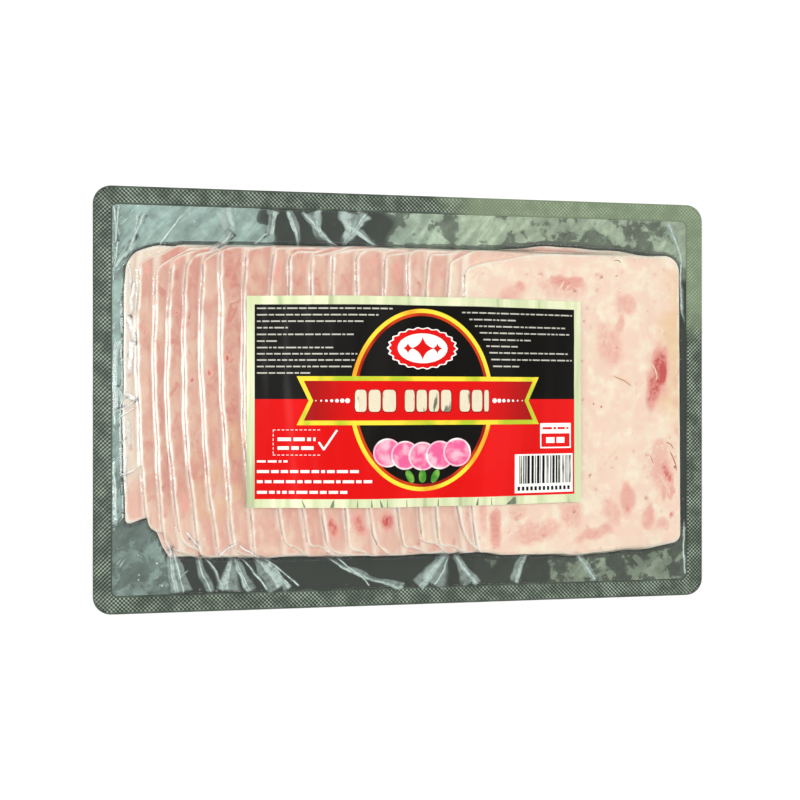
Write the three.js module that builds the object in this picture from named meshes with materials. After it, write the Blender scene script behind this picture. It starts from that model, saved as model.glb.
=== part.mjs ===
// Vacuum pack of shingled ham slices: a dark bottom film, a clear top film drawn
// down over eighteen overlapping slices, and a printed label bridging their steps.
// Millimetres, +Z up. The origin is the middle of the underside, X runs along the
// pack and each slice lies on the one to its left.
import * as THREE from 'three';

// The pack, over its seals
const packLength = 284;
const packWidth = 188;
const sealBand = 8;
const packCorner = 8;
const bottomThick = 0.6;
const sealedTopThick = 0.5;
const clearance = 0.3;

// One slice, and where the slices lie
const sliceWidth = 110;
const sliceHeight = 138;
const sliceThick = 1.75;
const sliceCorner = 11;
const firstEdge = -129.1;
const pitches = [6.7, 7.4, 5.3, 7.5, 7.6, 8.7, 8.9, 10.5, 10.5, 8.4, 10.3, 10.5, 11.3, 11.1, 6.9, 9.3, 7.8];
const firstMiddle = 1.5;
const stackMiddle = -1.7;
const topMiddle = -3.5;
const settledAfter = 3;
const raggedness = 1.2;
const leastLean = 0.028;
const moreLean = 0.038;
const edgeBow = 2.5;
const endRise = 0.03;

// How far the film stands off each kind of slice edge before it reaches what lies below
const stepRun = 2.6;
const endRun = 6;
const hiddenRun = 7.5;

// The label, and how closely it follows the steps under it
const labelWidth = 152;
const labelHeight = 92;
const labelThick = 0.35;
const labelX = 0.2;
const labelY = -0.8;
const labelReach = 6;
const labelBlur = 3;

// How finely the surfaces are divided
const columnBend = 5;
const wallRows = 11;
const middleRows = 8;
const topColumns = 9;
const labelColumns = 40;
const labelRows = 11;

const bagUnderside = bottomThick + clearance;
const sealTop = bagUnderside + sealedTopThick;
const halfSlice = sliceHeight / 2;
const lastSlice = pitches.length;

const spread = (from, to, count) =>
  Array.from({ length: count }, (_, k) => from + ((to - from) * k) / (count - 1));
const clamp = THREE.MathUtils.clamp;
const lerp = THREE.MathUtils.lerp;

// Each slice leans with the fan: its left edge, at the middle of its height, is at (x, y)
function fanSlices() {
  const slices = [];
  let x = firstEdge;
  for (let i = 0; i <= lastSlice; i += 1) {
    const settled = Math.min(1, i / settledAfter);
    const uneven = raggedness * Math.sin(2.4 * i) * settled;
    const y = i === lastSlice ? topMiddle : lerp(firstMiddle, stackMiddle, settled) + uneven;
    const lean = i === 0 ? 0 : leastLean + moreLean * Math.sin((Math.PI * i) / lastSlice);
    slices.push({ x, y, lean, covered: i < lastSlice });
    x += pitches[i] ?? 0;
  }
  return slices;
}

const slices = fanSlices();

// How far a rounded corner draws the slice's side in, at a height v from its middle
function cornerInset(v) {
  const past = clamp(Math.abs(v) - (halfSlice - sliceCorner), 0, sliceCorner);
  return sliceCorner - Math.sqrt(sliceCorner ** 2 - past ** 2);
}

// The cut left edge swings out in the middle of its height, so both its ends lie further right
const bowAt = (v) => edgeBow * (v / halfSlice) ** 2;

// Film height beside an edge: one at the edge, then a curve like a drawn sheet's to zero
function drop(distance, run) {
  const left = clamp(1 - distance / run, 0, 1);
  return left * left;
}

// How much of a slice's thickness is under the film at (x, y)
function cover(slice, x, y) {
  const v = y - slice.y - endRise * (x - slice.x);
  const u = x - slice.x + slice.lean * v;
  const inset = cornerInset(v);
  const leftSide = drop(inset + bowAt(v) - u, stepRun);
  const rightSide = drop(u - (sliceWidth - inset), slice.covered ? hiddenRun : stepRun);
  return leftSide * rightSide * drop(Math.abs(v) - halfSlice, endRun);
}

const bagHeight = (x, y) =>
  slices.reduce((height, slice) => height + sliceThick * cover(slice, x, y), sealTop);

// X of a slice's side at y, with the bend of its corners kept small enough that lines stay apart
function sideX(slice, y, offset, right = false) {
  const v = clamp(y - slice.y - (right ? endRise * sliceWidth : 0), -halfSlice, halfSlice);
  const bend = Math.min(cornerInset(v), columnBend);
  const u = right ? sliceWidth - bend + offset : bend + bowAt(v) + offset;
  return slice.x + u - slice.lean * v;
}

// Lines along the pack's width that follow every step: foot, face, top edge and tread
function columnLines() {
  const top = slices[lastSlice];
  const lines = [() => -packLength / 2, () => sealBand - packLength / 2];
  slices.forEach((slice, i) => {
    lines.push((y) => sideX(slice, y, -stepRun));
    lines.push((y) => sideX(slice, y, -stepRun / 2));
    lines.push((y) => sideX(slice, y, 0));
    const next = slices[i + 1];
    if (next) lines.push((y) => (sideX(slice, y, 0) + sideX(next, y, -stepRun)) / 2);
  });
  for (let k = 1; k < topColumns; k += 1) {
    lines.push((y) => lerp(sideX(top, y, 0), sideX(top, y, 0, true), k / topColumns));
  }
  lines.push((y) => sideX(top, y, 0, true));
  lines.push((y) => sideX(top, y, stepRun / 2, true));
  lines.push((y) => sideX(top, y, stepRun, true));
  lines.push(() => packLength / 2 - sealBand, () => packLength / 2);
  return lines;
}

function rowLines() {
  const cornerStart = halfSlice - sliceCorner;
  const wall = spread(cornerStart, halfSlice + sliceCorner, wallRows);
  const half = [...wall, packWidth / 2 - sealBand, packWidth / 2];
  const middle = spread(-cornerStart, cornerStart, middleRows + 2).slice(1, -1);
  return [...half.map((y) => -y).reverse(), ...middle, ...half];
}

// A closed mesh from its corner points, three to a face
function closedGeometry(points, faces) {
  const geometry = new THREE.BufferGeometry();
  geometry.setAttribute('position', new THREE.Float32BufferAttribute(points.flat(), 3));
  geometry.setIndex(faces.flat());
  geometry.computeVertexNormals();
  return geometry;
}

// Two triangles for each cell of a grid stored row by row, facing up
function gridFaces(rows, columns, first = 0, up = true) {
  const faces = [];
  for (let r = 0; r < rows - 1; r += 1) {
    for (let c = 0; c < columns - 1; c += 1) {
      const a = first + r * columns + c;
      const b = a + 1;
      const d = a + columns;
      const e = d + 1;
      faces.push(up ? [a, b, e] : [a, e, b], up ? [a, e, d] : [a, d, e]);
    }
  }
  return faces;
}

// The grid's outer points in order, anticlockwise from above
function rimOf(rows, columns) {
  const south = spread(0, columns - 1, columns);
  const east = spread(1, rows - 1, rows - 1).map((r) => r * columns + columns - 1);
  const north = south.slice(0, -1).reverse().map((c) => (rows - 1) * columns + c);
  const west = spread(1, rows - 2, rows - 2).map((r) => r * columns).reverse();
  return [...south, ...east, ...north, ...west];
}

// Side walls between two rims that list the same places
function wallFaces(upper, lower) {
  return upper.flatMap((a, k) => {
    const next = (k + 1) % upper.length;
    return [[lower[k], lower[next], upper[next]], [lower[k], upper[next], a]];
  });
}

// Clear top film over the slices: a stepped top, a flat underside and the seal all round
function bagGeometry() {
  const ys = rowLines();
  const lines = columnLines();
  const cornerCut = packCorner * (1 - Math.SQRT1_2);
  const points = ys.flatMap((y, r) =>
    lines.map((line, c) => {
      const atEnd = (r === 0 || r === ys.length - 1) && (c === 0 || c === lines.length - 1);
      const cut = atEnd ? cornerCut : 0;
      const x = line(y) - Math.sign(line(y)) * cut;
      const yCut = y - Math.sign(y) * cut;
      return [x, yCut, bagHeight(x, yCut)];
    }),
  );
  const faces = gridFaces(ys.length, lines.length);
  const rim = rimOf(ys.length, lines.length);
  const lower = rim.map((_, k) => points.length + k);
  rim.forEach((index) => points.push([points[index][0], points[index][1], bagUnderside]));
  const middle = points.push([0, 0, bagUnderside]) - 1;
  faces.push(...wallFaces(rim, lower));
  lower.forEach((a, k) => faces.push([middle, lower[(k + 1) % lower.length], a]));
  return closedGeometry(points, faces);
}

// The label rests on the highest ground near each point, evened out over a short distance
function labelRest(x, y) {
  const high = (at) =>
    Math.max(...spread(-labelReach, labelReach, 2 * labelReach + 1).map((d) => bagHeight(at + d, y)));
  const around = spread(-labelBlur, labelBlur, 2 * labelBlur + 1).map((d) => high(x + d));
  return around.reduce((sum, height) => sum + height, 0) / around.length + clearance;
}

function labelGeometry() {
  const xs = spread(labelX - labelWidth / 2, labelX + labelWidth / 2, labelColumns);
  const ys = spread(labelY - labelHeight / 2, labelY + labelHeight / 2, labelRows);
  const under = ys.flatMap((y) => xs.map((x) => [x, y, labelRest(x, y)]));
  const over = under.map(([x, y, z]) => [x, y, z + labelThick]);
  const rim = rimOf(labelRows, labelColumns);
  return closedGeometry(
    [...over, ...under],
    [
      ...gridFaces(labelRows, labelColumns),
      ...gridFaces(labelRows, labelColumns, over.length, false),
      ...wallFaces(rim, rim.map((index) => index + over.length)),
    ],
  );
}

function bottomFilmGeometry() {
  const x = packLength / 2;
  const y = packWidth / 2;
  const r = packCorner;
  const outline = new THREE.Shape();
  outline.moveTo(-x + r, -y);
  outline.absarc(x - r, -y + r, r, -Math.PI / 2, 0);
  outline.absarc(x - r, y - r, r, 0, Math.PI / 2);
  outline.absarc(-x + r, y - r, r, Math.PI / 2, Math.PI);
  outline.absarc(-x + r, -y + r, r, Math.PI, 1.5 * Math.PI);
  return new THREE.ExtrudeGeometry(outline, { depth: bottomThick, bevelEnabled: false, curveSegments: 5 });
}

function piece(name, geometry, finish) {
  const mesh = new THREE.Mesh(geometry, new THREE.MeshStandardMaterial(finish));
  mesh.name = name;
  return mesh;
}

const hamUnderFilm = { color: 0xe3b8a6, roughness: 0.25, metalness: 0 };
const darkFilm = { color: 0x515a4f, roughness: 0.3, metalness: 0 };
const redLabel = { color: 0xc4241b, roughness: 0.35, metalness: 0.2 };

const group = new THREE.Group();
group.add(piece('bottom_film', bottomFilmGeometry(), darkFilm));
group.add(piece('sealed_bag', bagGeometry(), hamUnderFilm));
group.add(piece('label', labelGeometry(), redLabel));

export default group;
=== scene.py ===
# Dresses the vacuum pack: dark bottom film, eighteen ham slices, the clear film drawn over
# them, the knurled seal and the printed foil label. Lengths are millimetres until toMesh.
import math

import bpy
import numpy as np
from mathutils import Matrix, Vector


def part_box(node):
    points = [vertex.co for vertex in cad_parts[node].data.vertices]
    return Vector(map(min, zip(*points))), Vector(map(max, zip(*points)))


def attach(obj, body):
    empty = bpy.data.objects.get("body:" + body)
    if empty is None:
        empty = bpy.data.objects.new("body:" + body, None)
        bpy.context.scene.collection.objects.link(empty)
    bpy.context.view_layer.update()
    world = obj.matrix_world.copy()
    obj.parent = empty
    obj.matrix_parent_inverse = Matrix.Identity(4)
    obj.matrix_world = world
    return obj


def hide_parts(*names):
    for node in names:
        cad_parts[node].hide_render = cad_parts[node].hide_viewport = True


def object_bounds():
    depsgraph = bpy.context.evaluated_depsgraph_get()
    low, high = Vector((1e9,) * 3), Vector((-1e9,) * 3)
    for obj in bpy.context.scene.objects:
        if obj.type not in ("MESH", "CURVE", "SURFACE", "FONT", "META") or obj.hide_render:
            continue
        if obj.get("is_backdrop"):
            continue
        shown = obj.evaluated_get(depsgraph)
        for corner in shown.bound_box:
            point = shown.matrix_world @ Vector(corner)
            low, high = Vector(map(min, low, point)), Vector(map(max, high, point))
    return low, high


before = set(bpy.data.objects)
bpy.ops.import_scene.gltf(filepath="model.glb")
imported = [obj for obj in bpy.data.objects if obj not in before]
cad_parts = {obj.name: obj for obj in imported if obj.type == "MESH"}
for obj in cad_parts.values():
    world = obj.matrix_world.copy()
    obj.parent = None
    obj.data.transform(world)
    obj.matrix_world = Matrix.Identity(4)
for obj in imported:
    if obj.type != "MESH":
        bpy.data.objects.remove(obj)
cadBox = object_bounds()
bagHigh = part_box("sealed_bag")[1]
labelLow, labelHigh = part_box("label")
mm = 0.001

pack = {
    "halfX": bagHigh.x / mm,
    "halfY": bagHigh.y / mm,
    "seal": 8.0,
    "corner": 8.0,
    "sealCorner": 2.5,
    "webTop": 0.6,
    "hamGround": 0.75,
    "filmGap": 0.12,
    "filmThick": 0.1,
}
ham = {
    "width": 110.6,
    "thick": 1.75,
    "firstEdge": -129.1,
    "pitches": [6.7, 7.4, 5.3, 7.5, 7.6, 8.7, 8.9, 10.5, 10.5, 8.4, 10.3, 10.5, 11.3, 11.1, 6.9, 9.3, 7.8],
    "rightLean": 0.006,
    "rightCorners": (7.5, 3.5),
    "farEase": {"top": 7.0, "bottom": -5.5},  # how far each end draws in over the slice's whole width
    "farOver": 110,
    "reach": (-4, 114),
    "hiddenEnds": {"top": 68.0, "bottom": -69.3},  # where the ends lie under the next slices
    "hiddenUneven": 0.9,
    "hiddenFrom": (10.0, 20.0),
    "short": 1.2,  # how far they end before the top slice does
    "shortFrom": 4,
    "shortOver": 14,
    "waver": 0.35,
    "slack": 0.05,
    "round": 1.3,
}
# each slice: how far its left edge lies right of its middle, 50 above and 50 below it, then for
# the top end and the bottom end: height at the left corner, height it settles at, over what
# length it settles, and the corner's radius
sliceShapes = [
    (0.7, 0.5, (61.5, 72.6, 16, 5.0), (-57.0, -48.0, 13, 4.5)),
    (0.0, 3.2, (59.0, 71.5, 15, 1.5), (-60.0, -57.0, 8, 5.0)),
    (0.1, 2.7, (57.5, 71.0, 14, 1.5), (-64.2, -72.0, 25, 4.0)),
    (1.4, 3.8, (59.5, 68.0, 10, 1.5), (-60.5, -68.0, 10, 5.0)),
    (0.3, 3.8, (62.5, 67.5, 12, 5.0), (-67.5, -70.5, 12, 3.0)),
    (-0.2, 4.1, (61.2, 68.0, 9, 1.5), (-67.0, -70.0, 10, 3.0)),
    (-0.9, 3.3, (65.2, 68.0, 8, 1.5), (-64.5, -71.0, 12, 2.5)),
    (0.5, 3.0, (64.2, 69.0, 6, 1.5), (-67.0, -70.5, 10, 2.5)),
    (1.1, 4.7, (66.0, 66.8, 8, 2.0), (-61.5, -66.0, 10, 3.0)),
    (-1.6, 4.7, (64.8, 66.0, 20, 5.5), (-65.0, -63.5, 10, 2.5)),
    (-0.4, 4.6, (63.3, 66.5, 12, 1.5), (-66.5, -68.0, 10, 6.0)),
    (-1.6, 4.0, (64.3, 65.8, 6, 1.5), (-65.0, -68.0, 12, 3.0)),
    (-1.8, 4.1, (65.2, 66.2, 15, 5.0), (-66.0, -68.5, 12, 9.0)),
    (-1.1, 5.3, (63.3, 66.5, 11, 2.0), (-66.0, -64.0, 15, 2.0)),
    (-1.3, 3.9, (65.0, 67.0, 7, 3.5), (-61.8, -64.5, 8, 1.5)),
    (0.0, 4.1, (64.0, 66.0, 6, 2.0), (-64.0, -65.0, 8, 2.0)),
    (0.2, 5.4, (60.6, 73.5, 22, 1.5), (-64.0, -68.0, 8, 9.0)),
    (0.2, 4.0, (57.6, 69.5, 27, 2.0), (-67.8, -73.6, 25, 3.0)),
]
# how film and slices come down past an edge: rounding before it, run after it
drape = {
    "step": (0.5, 1.4),
    "end": (0.8, 2.6),
    "hidden": (5.0, 12.0),
    "hiddenEnd": (1.2, 3.2),
    "uneven": 0.35,
}
reliefWaves = ((0.1, 9, 3), (0.05, 3.2, 4))  # height, size and seed
lastSlice = len(ham["pitches"])

print("frame loaded")


# ---- shapes shared by the ham, the film and the label

def lerp(a, b, t):
    return a + (b - a) * t


def smooth(t):
    t = np.clip(t, 0, 1)
    return t * t * (3 - 2 * t)


def softNoise(x, y, size, seed):  # random values on a lattice, blended smoothly between its points
    table = np.random.default_rng(seed).uniform(-1, 1, (64, 64))
    gx, gy = np.asarray(x) / size, np.asarray(y) / size
    ix, iy = np.floor(gx).astype(int), np.floor(gy).astype(int)
    fx, fy = smooth(gx - ix), smooth(gy - iy)
    corner = lambda dx, dy: table[(ix + dx) % 64, (iy + dy) % 64]
    return lerp(lerp(corner(0, 0), corner(1, 0), fx), lerp(corner(0, 1), corner(1, 1), fx), fy)


def fanSlices():  # each slice's shape, with the place of its left edge
    slices, x = [], ham["firstEdge"]
    for i, (atTop, atBottom, top, bottom) in enumerate(sliceShapes):
        slices.append({"i": i, "x": x, "atTop": atTop, "atBottom": atBottom, "top": top, "bottom": bottom})
        x += ham["pitches"][i] if i < lastSlice else 0
    return slices


slices = fanSlices()


def leftEdge(piece, y):  # a curve through three points, wavering as cut meat does
    i, t = piece["i"], y / 50
    high, low = piece["atTop"], piece["atBottom"]
    bend = (high + low) / 2 * t**2 + (high - low) / 2 * t
    waver = 0.6 * np.sin(y / 9.3 + 1.7 * i) + 0.4 * np.sin(y / 4.3 + 2.9 * i)
    return piece["x"] + bend + ham["waver"] * waver


def rightEdge(piece, y):
    return piece["x"] + ham["width"] - ham["rightLean"] * y


def underNext(piece, x):  # 0 where a slice shows, 1 where it lies well under the next one
    first, last = ham["hiddenFrom"]
    return smooth((x - piece["x"] - first) / (last - first)) * (piece["i"] < lastSlice)


def endEdge(piece, which, x):  # leaves the corner, settles at another height and draws in at the far end
    start, settled, over, _ = piece[which]
    isTop = piece["i"] == lastSlice
    u = np.clip(x - piece["x"], *ham["reach"])
    shown = settled + (start - settled) * np.exp(-np.clip(u, 0, None) / over)
    if not (isTop and which == "top"):
        shown = shown - ham["farEase"][which] * (u / ham["farOver"]) ** 4
    shown = shown + ham["waver"] * (np.sin(u / 6.1 + 2.3 * piece["i"]) + 0.5 * np.sin(u / 2.9 + piece["i"]))
    if isTop or (piece["i"] == lastSlice - 1 and which == "top"):
        return shown
    hidden = ham["hiddenEnds"][which] + ham["hiddenUneven"] * math.sin(2.1 * piece["i"])
    if which == "bottom":  # under the top slice the others end just short of its end
        short = smooth((x - slices[-1]["x"] - ham["shortFrom"]) / ham["shortOver"])
        hidden = lerp(hidden, endEdge(slices[-1], which, x) + ham["short"], short)
    return lerp(shown, hidden, underNext(piece, x))


def insideBy(piece, x, y):  # distance in from the nearest edge, and how far it is a side or an end
    left, right = x - leftEdge(piece, y), rightEdge(piece, y) - x
    up, down = endEdge(piece, "top", x) - y, y - endEdge(piece, "bottom", x)
    atRight, atTop = right < left, up < down
    side, end = np.minimum(left, right), np.minimum(up, down)
    leftCorner = np.where(atTop, piece["top"][3], piece["bottom"][3])
    rightCorner = np.where(atTop, *ham["rightCorners"])
    r = np.where(atRight, rightCorner, leftCorner)
    across, along = np.maximum(r - side, 0), np.maximum(r - end, 0)
    far = np.hypot(across, along)
    inside = np.where((across > 0) & (along > 0), r - far, np.minimum(side, end))
    endShare = np.where(far > 0, along**2 / np.maximum(far, 1e-6) ** 2, end < side)
    return inside, endShare, atRight


def drop(inside, round, run):  # rounds over before the edge, then falls in a curve that flattens out
    d = -inside
    steep = 2 / (round + run)
    over = 1 - steep * np.clip(d + round, 0, round) ** 2 / (2 * round)
    down = steep / (2 * run) * np.clip(run - d, 0, run) ** 2
    return np.where(d < 0, over, down)


def cover(piece, x, y):  # the share of one slice's thickness that lies under a sheet at x, y
    inside, endShare, atRight = insideBy(piece, x, y)
    sideDrape = drape["step"] if piece["i"] == lastSlice else drape["hidden"]
    sides = [np.where(atRight, sideDrape[k], drape["step"][k]) for k in (0, 1)]
    ends = [lerp(drape["end"][k], drape["hiddenEnd"][k], underNext(piece, x)) for k in (0, 1)]
    loose = 1 + drape["uneven"] * softNoise(x + 31 * piece["i"], y, 7, 5)
    return drop(inside, *[lerp(sides[k] * (loose if k else 1), ends[k], endShare) for k in (0, 1)])


def relief(x, y):  # the soft unevenness of cut ham, which the film follows
    return sum(rise * softNoise(x, y, size, seed) for rise, size, seed in reliefWaves)


def stackHeight(x, y, below=lastSlice + 1):  # top of the slices under number "below"
    height = np.full(np.shape(x), pack["hamGround"])
    for piece in slices[:below]:
        height = height + ham["thick"] * cover(piece, x, y)
    return height


# ---- meshes

def quadGrid(rows, cols, first=0, up=True):
    a = (first + np.arange(rows * cols).reshape(rows, cols))[:-1, :-1].ravel()
    quads = np.stack([a, a + 1, a + cols + 1, a + cols], 1)
    return quads if up else quads[:, ::-1]


def gridRim(rows, cols):  # outer points of a grid stored row by row, anticlockwise from above
    n = np.arange(rows * cols).reshape(rows, cols)
    return np.concatenate([n[0, :-1], n[:-1, -1], n[-1, :0:-1], n[:0:-1, 0]])


def toMesh(name, points, quads, material, sharp=50):
    mesh = bpy.data.meshes.new(name)
    points, quads = np.asarray(points, float).reshape(-1, 3) * mm, np.asarray(quads, int)
    mesh.vertices.add(len(points))
    mesh.vertices.foreach_set("co", points.ravel())
    mesh.loops.add(quads.size)
    mesh.loops.foreach_set("vertex_index", quads.ravel())
    mesh.polygons.add(len(quads))
    mesh.polygons.foreach_set("loop_start", np.arange(0, quads.size, quads.shape[1]))
    mesh.materials.append(material)
    mesh.polygons.foreach_set("use_smooth", np.ones(len(quads), bool))
    mesh.update(calc_edges=True)
    mesh.validate()
    mesh.set_sharp_from_angle(angle=math.radians(sharp))
    piece = bpy.data.objects.new(name, mesh)
    bpy.context.scene.collection.objects.link(piece)
    return piece


def closedQuads(rows, cols, first=0):  # two equal grids, one above the other, and the wall between them
    count = rows * cols
    rim = gridRim(rows, cols) + first
    nextOne = np.roll(rim, -1)
    wall = np.stack([rim + count, nextOne + count, nextOne, rim], 1)
    over, under = quadGrid(rows, cols, first), quadGrid(rows, cols, first + count, False)
    return np.concatenate([over, under, wall])


def closedSheet(name, over, under, material, sharp=50):
    points = np.concatenate([over.reshape(-1, 3), under.reshape(-1, 3)])
    return toMesh(name, points, closedQuads(*over.shape[:2]), material, sharp)


def paint(piece, name, values):  # one number, or three, for each point
    values = np.asarray(values, np.float32)
    wide = values.ndim > 1
    attribute = piece.data.attributes.new(name, "FLOAT_VECTOR" if wide else "FLOAT", "POINT")
    attribute.data.foreach_set("vector" if wide else "value", values.ravel())


def place(piece, node):
    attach(piece, "root")
    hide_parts(node)
    return piece


class Patches:  # gathers small closed sheets of one finish into one piece
    def __init__(self, name, material):
        self.name, self.material = name, material
        self.points, self.quads, self.count, self.fields = [], [], 0, {}

    def add(self, over, under, **fields):
        rows, cols = over.shape[:2]
        self.points += [over.reshape(-1, 3), under.reshape(-1, 3)]
        self.quads.append(closedQuads(rows, cols, self.count))
        self.count += 2 * rows * cols
        for key, values in fields.items():
            self.fields.setdefault(key, []).append(np.tile(np.ravel(values), 2))

    def finish(self, node, slot, sharp=40):
        points, quads = np.concatenate(self.points), np.concatenate(self.quads)
        piece = toMesh(self.name, points, quads, self.material, sharp)
        for key, parts in self.fields.items():
            paint(piece, key, np.concatenate(parts))
        return place(piece, node)


# ---- materials

class Nodes:  # short hand for building a material's nodes
    def __init__(self, name):
        self.material = bpy.data.materials.new(name)
        self.material.use_nodes = True
        self.tree = self.material.node_tree
        self.tree.nodes.clear()
        self.out = self.tree.nodes.new("ShaderNodeOutputMaterial")

    def join(self, value, socket):  # links another node's output, or sets a plain value
        if isinstance(value, bpy.types.NodeSocket):
            self.tree.links.new(value, socket)
        else:
            socket.default_value = value

    def add(self, kind, settings=None, **inputs):  # inputs by name, or by number as i0, i1 and so on
        node = self.tree.nodes.new(kind)
        for key, value in (settings or {}).items():
            setattr(node, key, value)
        for key, value in inputs.items():
            byNumber = key[0] == "i" and key[1:].isdigit()
            self.join(value, node.inputs[int(key[1:]) if byNumber else key])
        return node

    def math(self, operation, a, b=0.0, clamp=False):
        return self.add("ShaderNodeMath", {"operation": operation, "use_clamp": clamp}, i0=a, i1=b).outputs[0]

    def plus(self, a, b):
        return self.math("ADD", a, b)

    def minus(self, a, b):
        return self.math("SUBTRACT", a, b)

    def times(self, a, b, clamp=False):
        return self.math("MULTIPLY", a, b, clamp)

    def mix(self, share, a, b):
        return self.add("ShaderNodeMix", {"data_type": "RGBA"}, i0=share, i6=a, i7=b).outputs[2]

    def ramp(self, value, low, high):  # nothing below low, all above high, smooth between
        node = self.add("ShaderNodeMapRange", {"interpolation_type": "SMOOTHSTEP"}, Value=value)
        node.inputs["From Min"].default_value = low
        node.inputs["From Max"].default_value = high
        return node.outputs[0]

    def noise(self, vector, scale, detail=3.0, rough=0.55, warp=0.0):
        node = self.add("ShaderNodeTexNoise", Vector=vector, Scale=scale, Detail=detail, Distortion=warp)
        node.inputs["Roughness"].default_value = rough
        return node.outputs[0]

    def dots(self, vector, scale):  # distance from points strewn at random
        node = self.add("ShaderNodeTexVoronoi", Vector=vector, Scale=scale, Randomness=1.0)
        return node.outputs["Distance"]

    def stretched(self, vector, across, along):
        node = self.add("ShaderNodeMapping", Vector=vector)
        node.inputs["Scale"].default_value = (across, along, 1.0)
        return node.outputs[0]

    def attribute(self, name, output="Fac"):
        return self.add("ShaderNodeAttribute", {"attribute_name": name}).outputs[output]

    def objectPlace(self):
        return self.add("ShaderNodeTexCoord").outputs["Object"]

    def objectX(self):
        return self.add("ShaderNodeSeparateXYZ", Vector=self.objectPlace()).outputs[0]

    def bump(self, height, distance):
        return self.add("ShaderNodeBump", Height=height, Distance=distance, Strength=1.0).outputs[0]

    def surface(self, base, roughness, normal=None, others=None):  # others: more sockets and their values
        shader = self.add("ShaderNodeBsdfPrincipled", None, **{"Base Color": base, "Roughness": roughness})
        for key, value in (others or {}).items():
            shader.inputs[key].default_value = value
        if normal is not None:
            self.tree.links.new(normal, shader.inputs["Normal"])
        return shader.outputs[0]

    def blend(self, share, a, b):  # of two shaders
        return self.add("ShaderNodeMixShader", Fac=share, i1=a, i2=b).outputs[0]

    def finish(self, shader):
        self.tree.links.new(shader, self.out.inputs["Surface"])
        return self.material


def colour(r, g, b):  # a colour as seen on a screen, 0 to 255, in linear light
    line = lambda c: c / 12.92 if c <= 0.04045 else ((c + 0.055) / 1.055) ** 2.4
    return (line(r / 255), line(g / 255), line(b / 255), 1.0)


hamColours = {
    "topCream": colour(255, 240, 218),
    "topPink": colour(251, 218, 199),
    "stripPale": colour(232, 192, 171),
    "stripPink": colour(219, 158, 141),
    "stripRed": colour(214, 134, 122),
    "fleck": colour(252, 232, 208),
    "soft": colour(239, 178, 163),
    "deep": colour(206, 82, 78),
    # the pale edge band: partly the cut edge's paler meat, partly painted sheen of the film over the step
    "cut": colour(253, 244, 230),
    # painted shade on the tread beside each step
    "treadShade": colour(200, 164, 152),
    "fat": colour(236, 200, 150),
    "pale": colour(240, 234, 218),
    "pit": colour(150, 62, 48),
}
meat = {  # how fine each pattern is, then how strongly it shows
    "broad": 0.9,
    "middle": 2.4,
    "fine": 14.0,
    "flush": 1.7,
    "lumps": 1.1,
    "mottle": 5.0,
    "pits": 1.5,
    "flushShare": 0.75,
    "seamShare": 0.45,
    "fleckShare": 0.32,
    "haloShare": 0.4,
    "pitShare": 0.6,
    "grain": 0.0004,
    "roughness": 0.45,
    "soft": {"Subsurface Weight": 0.2, "Subsurface Radius": (1.0, 0.45, 0.3), "Subsurface Scale": 0.002},
}


def hamMaterial():
    n = Nodes("ham")
    spot = n.attribute("meat", "Vector")
    broad = n.noise(spot, meat["broad"], 3, 0.5, 0.8)
    middle = n.noise(spot, meat["middle"], 4, 0.55, 0.5)
    fine = n.noise(spot, meat["fine"], 3, 0.6)
    blend = n.plus(n.times(broad, 0.6), n.times(middle, 0.4))
    top = n.mix(n.ramp(blend, 0.32, 0.58), hamColours["topCream"], hamColours["topPink"])
    strip = n.mix(n.ramp(blend, 0.34, 0.62), hamColours["stripPale"], hamColours["stripPink"])
    flush = n.ramp(n.noise(spot, meat["flush"], 3, 0.5, 1.2), 0.54, 0.7)
    strip = n.mix(n.times(flush, meat["flushShare"]), strip, hamColours["stripRed"])
    base = n.mix(n.attribute("tone"), top, strip)
    smoothCells = {"feature": "SMOOTH_F1"}
    lumps = n.add("ShaderNodeTexVoronoi", smoothCells, Vector=spot, Scale=meat["lumps"], Smoothness=0.6)
    seam = n.times(n.ramp(lumps.outputs["Distance"], 0.55, 0.85), n.ramp(middle, 0.42, 0.6))
    mottled = n.plus(0.25, n.times(n.noise(spot, meat["mottle"], 4, 0.6, 0.8), 1.5))
    muscle = n.plus(n.times(n.attribute("muscle"), mottled), n.times(n.minus(middle, 0.5), 0.22))
    pits, pitted = n.dots(spot, meat["pits"]), n.ramp(middle, 0.52, 0.56)
    layers = [  # each covers the ones before it by its share
        ("fleck", n.times(seam, meat["seamShare"])),
        ("fleck", n.times(n.ramp(fine, 0.6, 0.72), meat["fleckShare"])),
        ("fat", n.attribute("fatty")),
        ("pale", n.attribute("pale")),
        ("soft", n.ramp(muscle, 0.03, 0.62)),
        ("deep", n.ramp(muscle, 0.55, 1.25)),
        ("stripRed", n.times(n.times(n.ramp(pits, 0.26, 0.12), pitted), meat["haloShare"])),
        ("pit", n.times(n.times(n.ramp(pits, 0.1, 0.045), pitted), meat["pitShare"])),
        # painted shade on the tread beside each step
        ("treadShade", n.attribute("treadShade")),
        # the pale edge band: partly the cut edge's paler meat, partly painted sheen of the film over the step
        ("cut", n.attribute("rim")),
    ]
    for key, share in layers:
        base = n.mix(share, base, hamColours[key])
    grain = n.bump(n.plus(n.times(middle, 0.6), n.times(fine, 0.4)), meat["grain"])
    return n.finish(n.surface(base, meat["roughness"], grain, meat["soft"]))


clearLook = {
    "tint": (0.985, 0.99, 0.985, 1),
    "fineRipple": 260,
    "broadRipple": 90,
    "broadShare": 1.6,
    "bump": 0.00012,
    "roughness": 0.1,
    "ior": 1.9,
}


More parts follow.
